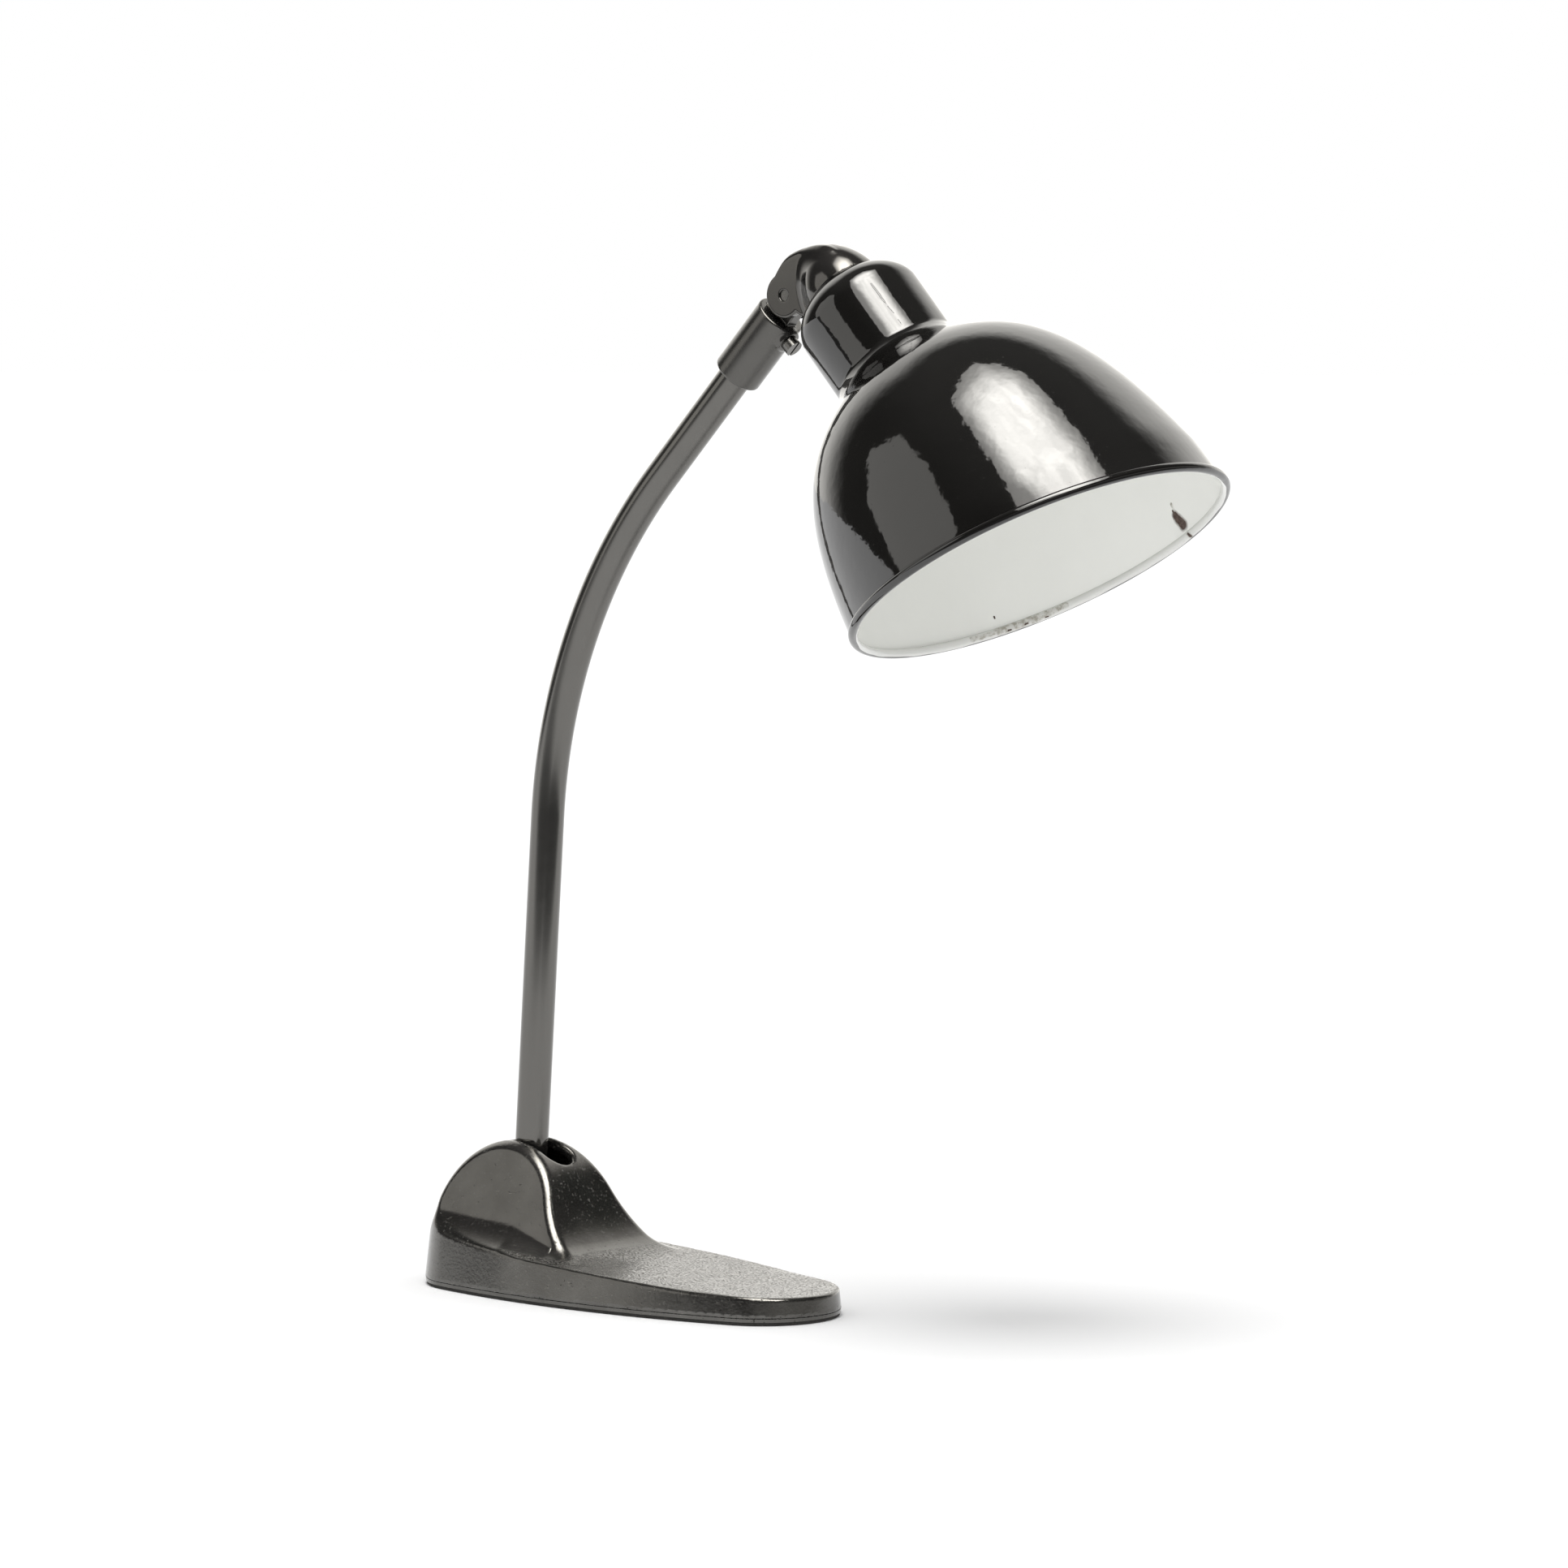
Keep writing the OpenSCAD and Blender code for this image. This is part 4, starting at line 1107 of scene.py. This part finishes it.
def overhead_box(tree, direction, right, ahead, up):
    """A six-sided soft box overhead, brightest in its middle, with a slightly uneven cloth."""
    height = most(tree, up, 0.02)
    x = math_node(tree, "DIVIDE", right, height)
    y = math_node(tree, "DIVIDE", ahead, height)
    inset = least(tree, *[plain_sum(tree, x, y, *edge) for edge in BOX_EDGES])
    cloth = scaled(tree, noise_at(tree, direction, 9, 3, 0.5), *BOX_CLOTH, 0.35, 0.65)
    # the core of the light dies away towards the near left
    fade = product(tree, shine(tree, plain_sum(tree, x, y, *BOX_FADE), *BOX_FADE_STEP), BOX_FADE_SHARE)
    core = product(tree, shine(tree, inset, *BOX_CORE), less(tree, fade))
    glow = total(tree, product(tree, core, cloth), BOX_EDGE_GLOW)
    return product(tree, glow, shine(tree, inset, *BOX_EDGE), shine(tree, up, *BOX_LOW_END))


def side_card(tree, turn, rise):
    """A dim card at the left, with its corners cut."""
    across = math_node(tree, "ABSOLUTE", math_node(tree, "SUBTRACT", turn, CARD_TURN))
    upward = math_node(tree, "ABSOLUTE", math_node(tree, "SUBTRACT", rise, CARD_RISE))
    inset = least(tree, *[plain_sum(tree, across, upward, *edge) for edge in CARD_EDGES])
    return product(tree, CARD_GLOW, shine(tree, inset, *CARD_EDGE))


def back_wall(tree, turn, rise):
    """A white wall behind the lamp, up to about halfway overhead."""
    behind = shine(tree, math_node(tree, "ABSOLUTE", turn), *WALL_SIDES)
    return product(tree, WALL_GLOW, behind, less(tree, shine(tree, rise, *WALL_TOP)))


def dark_room(tree, up):
    """All the rest, a little lighter overhead."""
    return total(tree, product(tree, shine(tree, up, *CEILING), CEILING_GLOW), DARK_GLOW)


def low_haze(tree, turn, rise):
    """A faint light low on the right."""
    low = less(tree, shine(tree, rise, *HAZE_TOP))
    return product(tree, low, shine(tree, turn, *HAZE_SIDE), HAZE_GLOW)


def studio(tree):
    """What a glossy surface sees."""
    direction = tree.nodes.new("ShaderNodeTexCoord").outputs["Generated"]
    right = along(tree, direction, STUDIO_RIGHT)
    ahead = along(tree, direction, STUDIO_AHEAD)
    up = along(tree, direction, (0, 0, 1))
    turn = math_node(tree, "ARCTAN2", right, ahead)
    rise = math_node(tree, "ARCSINE", up)
    return total(
        tree,
        overhead_box(tree, direction, right, ahead, up),
        side_card(tree, turn, rise),
        back_wall(tree, turn, rise),
        dark_room(tree, up),
        low_haze(tree, turn, rise),
    )


def make_world():
    """White behind the object for the camera, the studio for reflections, an even fill for the rest."""
    world = bpy.data.worlds.new("world")
    bpy.context.scene.world = world
    world.use_nodes = True
    world.cycles.sampling_method = "NONE"
    tree = world.node_tree
    tree.nodes.clear()
    ray = tree.nodes.new("ShaderNodeLightPath")
    out = tree.nodes.new("ShaderNodeOutputWorld")
    back = tree.nodes.new("ShaderNodeBackground")
    strength = total(
        tree,
        ray.outputs["Is Camera Ray"],
        product(tree, ray.outputs["Is Glossy Ray"], studio(tree)),
        ray.outputs["Is Transmission Ray"],
        product(tree, ray.outputs["Is Diffuse Ray"], FILL),
    )
    tree.links.new(strength, back.inputs["Strength"])
    tree.links.new(mixed(tree, ray.outputs["Is Glossy Ray"], (1, 1, 1), STUDIO_TINT), back.inputs["Color"])
    tree.links.new(back.outputs[0], out.inputs["Surface"])


def floor_white():
    """White, and in reflections a table that ends a little under a metre ahead of the lamp."""
    mat = bpy.data.materials.new("floor_white")
    mat.use_nodes = True
    tree = mat.node_tree
    tree.nodes.clear()
    ray = tree.nodes.new("ShaderNodeLightPath")
    matt = tree.nodes.new("ShaderNodeBsdfDiffuse")
    right = most(tree, along(tree, place(tree), STUDIO_RIGHT), 0.0)
    ahead = total(tree, along(tree, place(tree), STUDIO_AHEAD), product(tree, right, TABLE_SKEW))
    table = mixed(tree, shine(tree, ahead, *TABLE_END), TABLE_LIT, TABLE_BEYOND)
    tone = mixed(tree, ray.outputs["Is Glossy Ray"], FLOOR_LIT, table)
    tree.links.new(mixed(tree, ray.outputs["Is Camera Ray"], tone, FLOOR_SEEN), matt.inputs["Color"])
    out = tree.nodes.new("ShaderNodeOutputMaterial")
    tree.links.new(matt.outputs[0], out.inputs["Surface"])
    return mat


def make_floor():
    h = FLOOR_HALF
    mesh = bpy.data.meshes.new("floor")
    mesh.from_pydata([(-h, -h, 0), (h, -h, 0), (h, h, 0), (-h, h, 0)], [], [(0, 1, 2, 3)])
    mesh.materials.append(floor_white())
    floor = bpy.data.objects.new("floor", mesh)
    floor.location = (0, 0, -FLOOR_DROP)
    bpy.context.scene.collection.objects.link(floor)


def make_sun():
    """Soft light from nearly overhead, which draws the shade's faint shadow on the floor."""
    data = bpy.data.lights.new("sun", "SUN")
    data.energy = SUN_STRENGTH
    data.angle = SUN_ANGLE
    sun = bpy.data.objects.new("sun", data)
    bpy.context.scene.collection.objects.link(sun)
    sun.rotation_euler = Vector(SUN_WAY).to_track_quat("-Z", "Y").to_euler()
    sun.visible_glossy = False


def make_camera():
    """The photo's own view."""
    data = bpy.data.cameras.new("camera")
    data.sensor_width = SENSOR
    data.lens = FOCAL_PIXELS * SENSOR / PHOTO_PIXELS
    data.clip_start = 0.05
    camera = bpy.data.objects.new("camera", data)
    bpy.context.scene.collection.objects.link(camera)
    camera.location = CAMERA_AT
    camera.rotation_euler = (math.radians(90 - CAMERA_DIP), 0, math.radians(CAMERA_TURN))
    bpy.context.scene.camera = camera


make_floor()
make_world()
make_sun()
make_camera()
bpy.context.scene.view_settings.view_transform = "Standard"
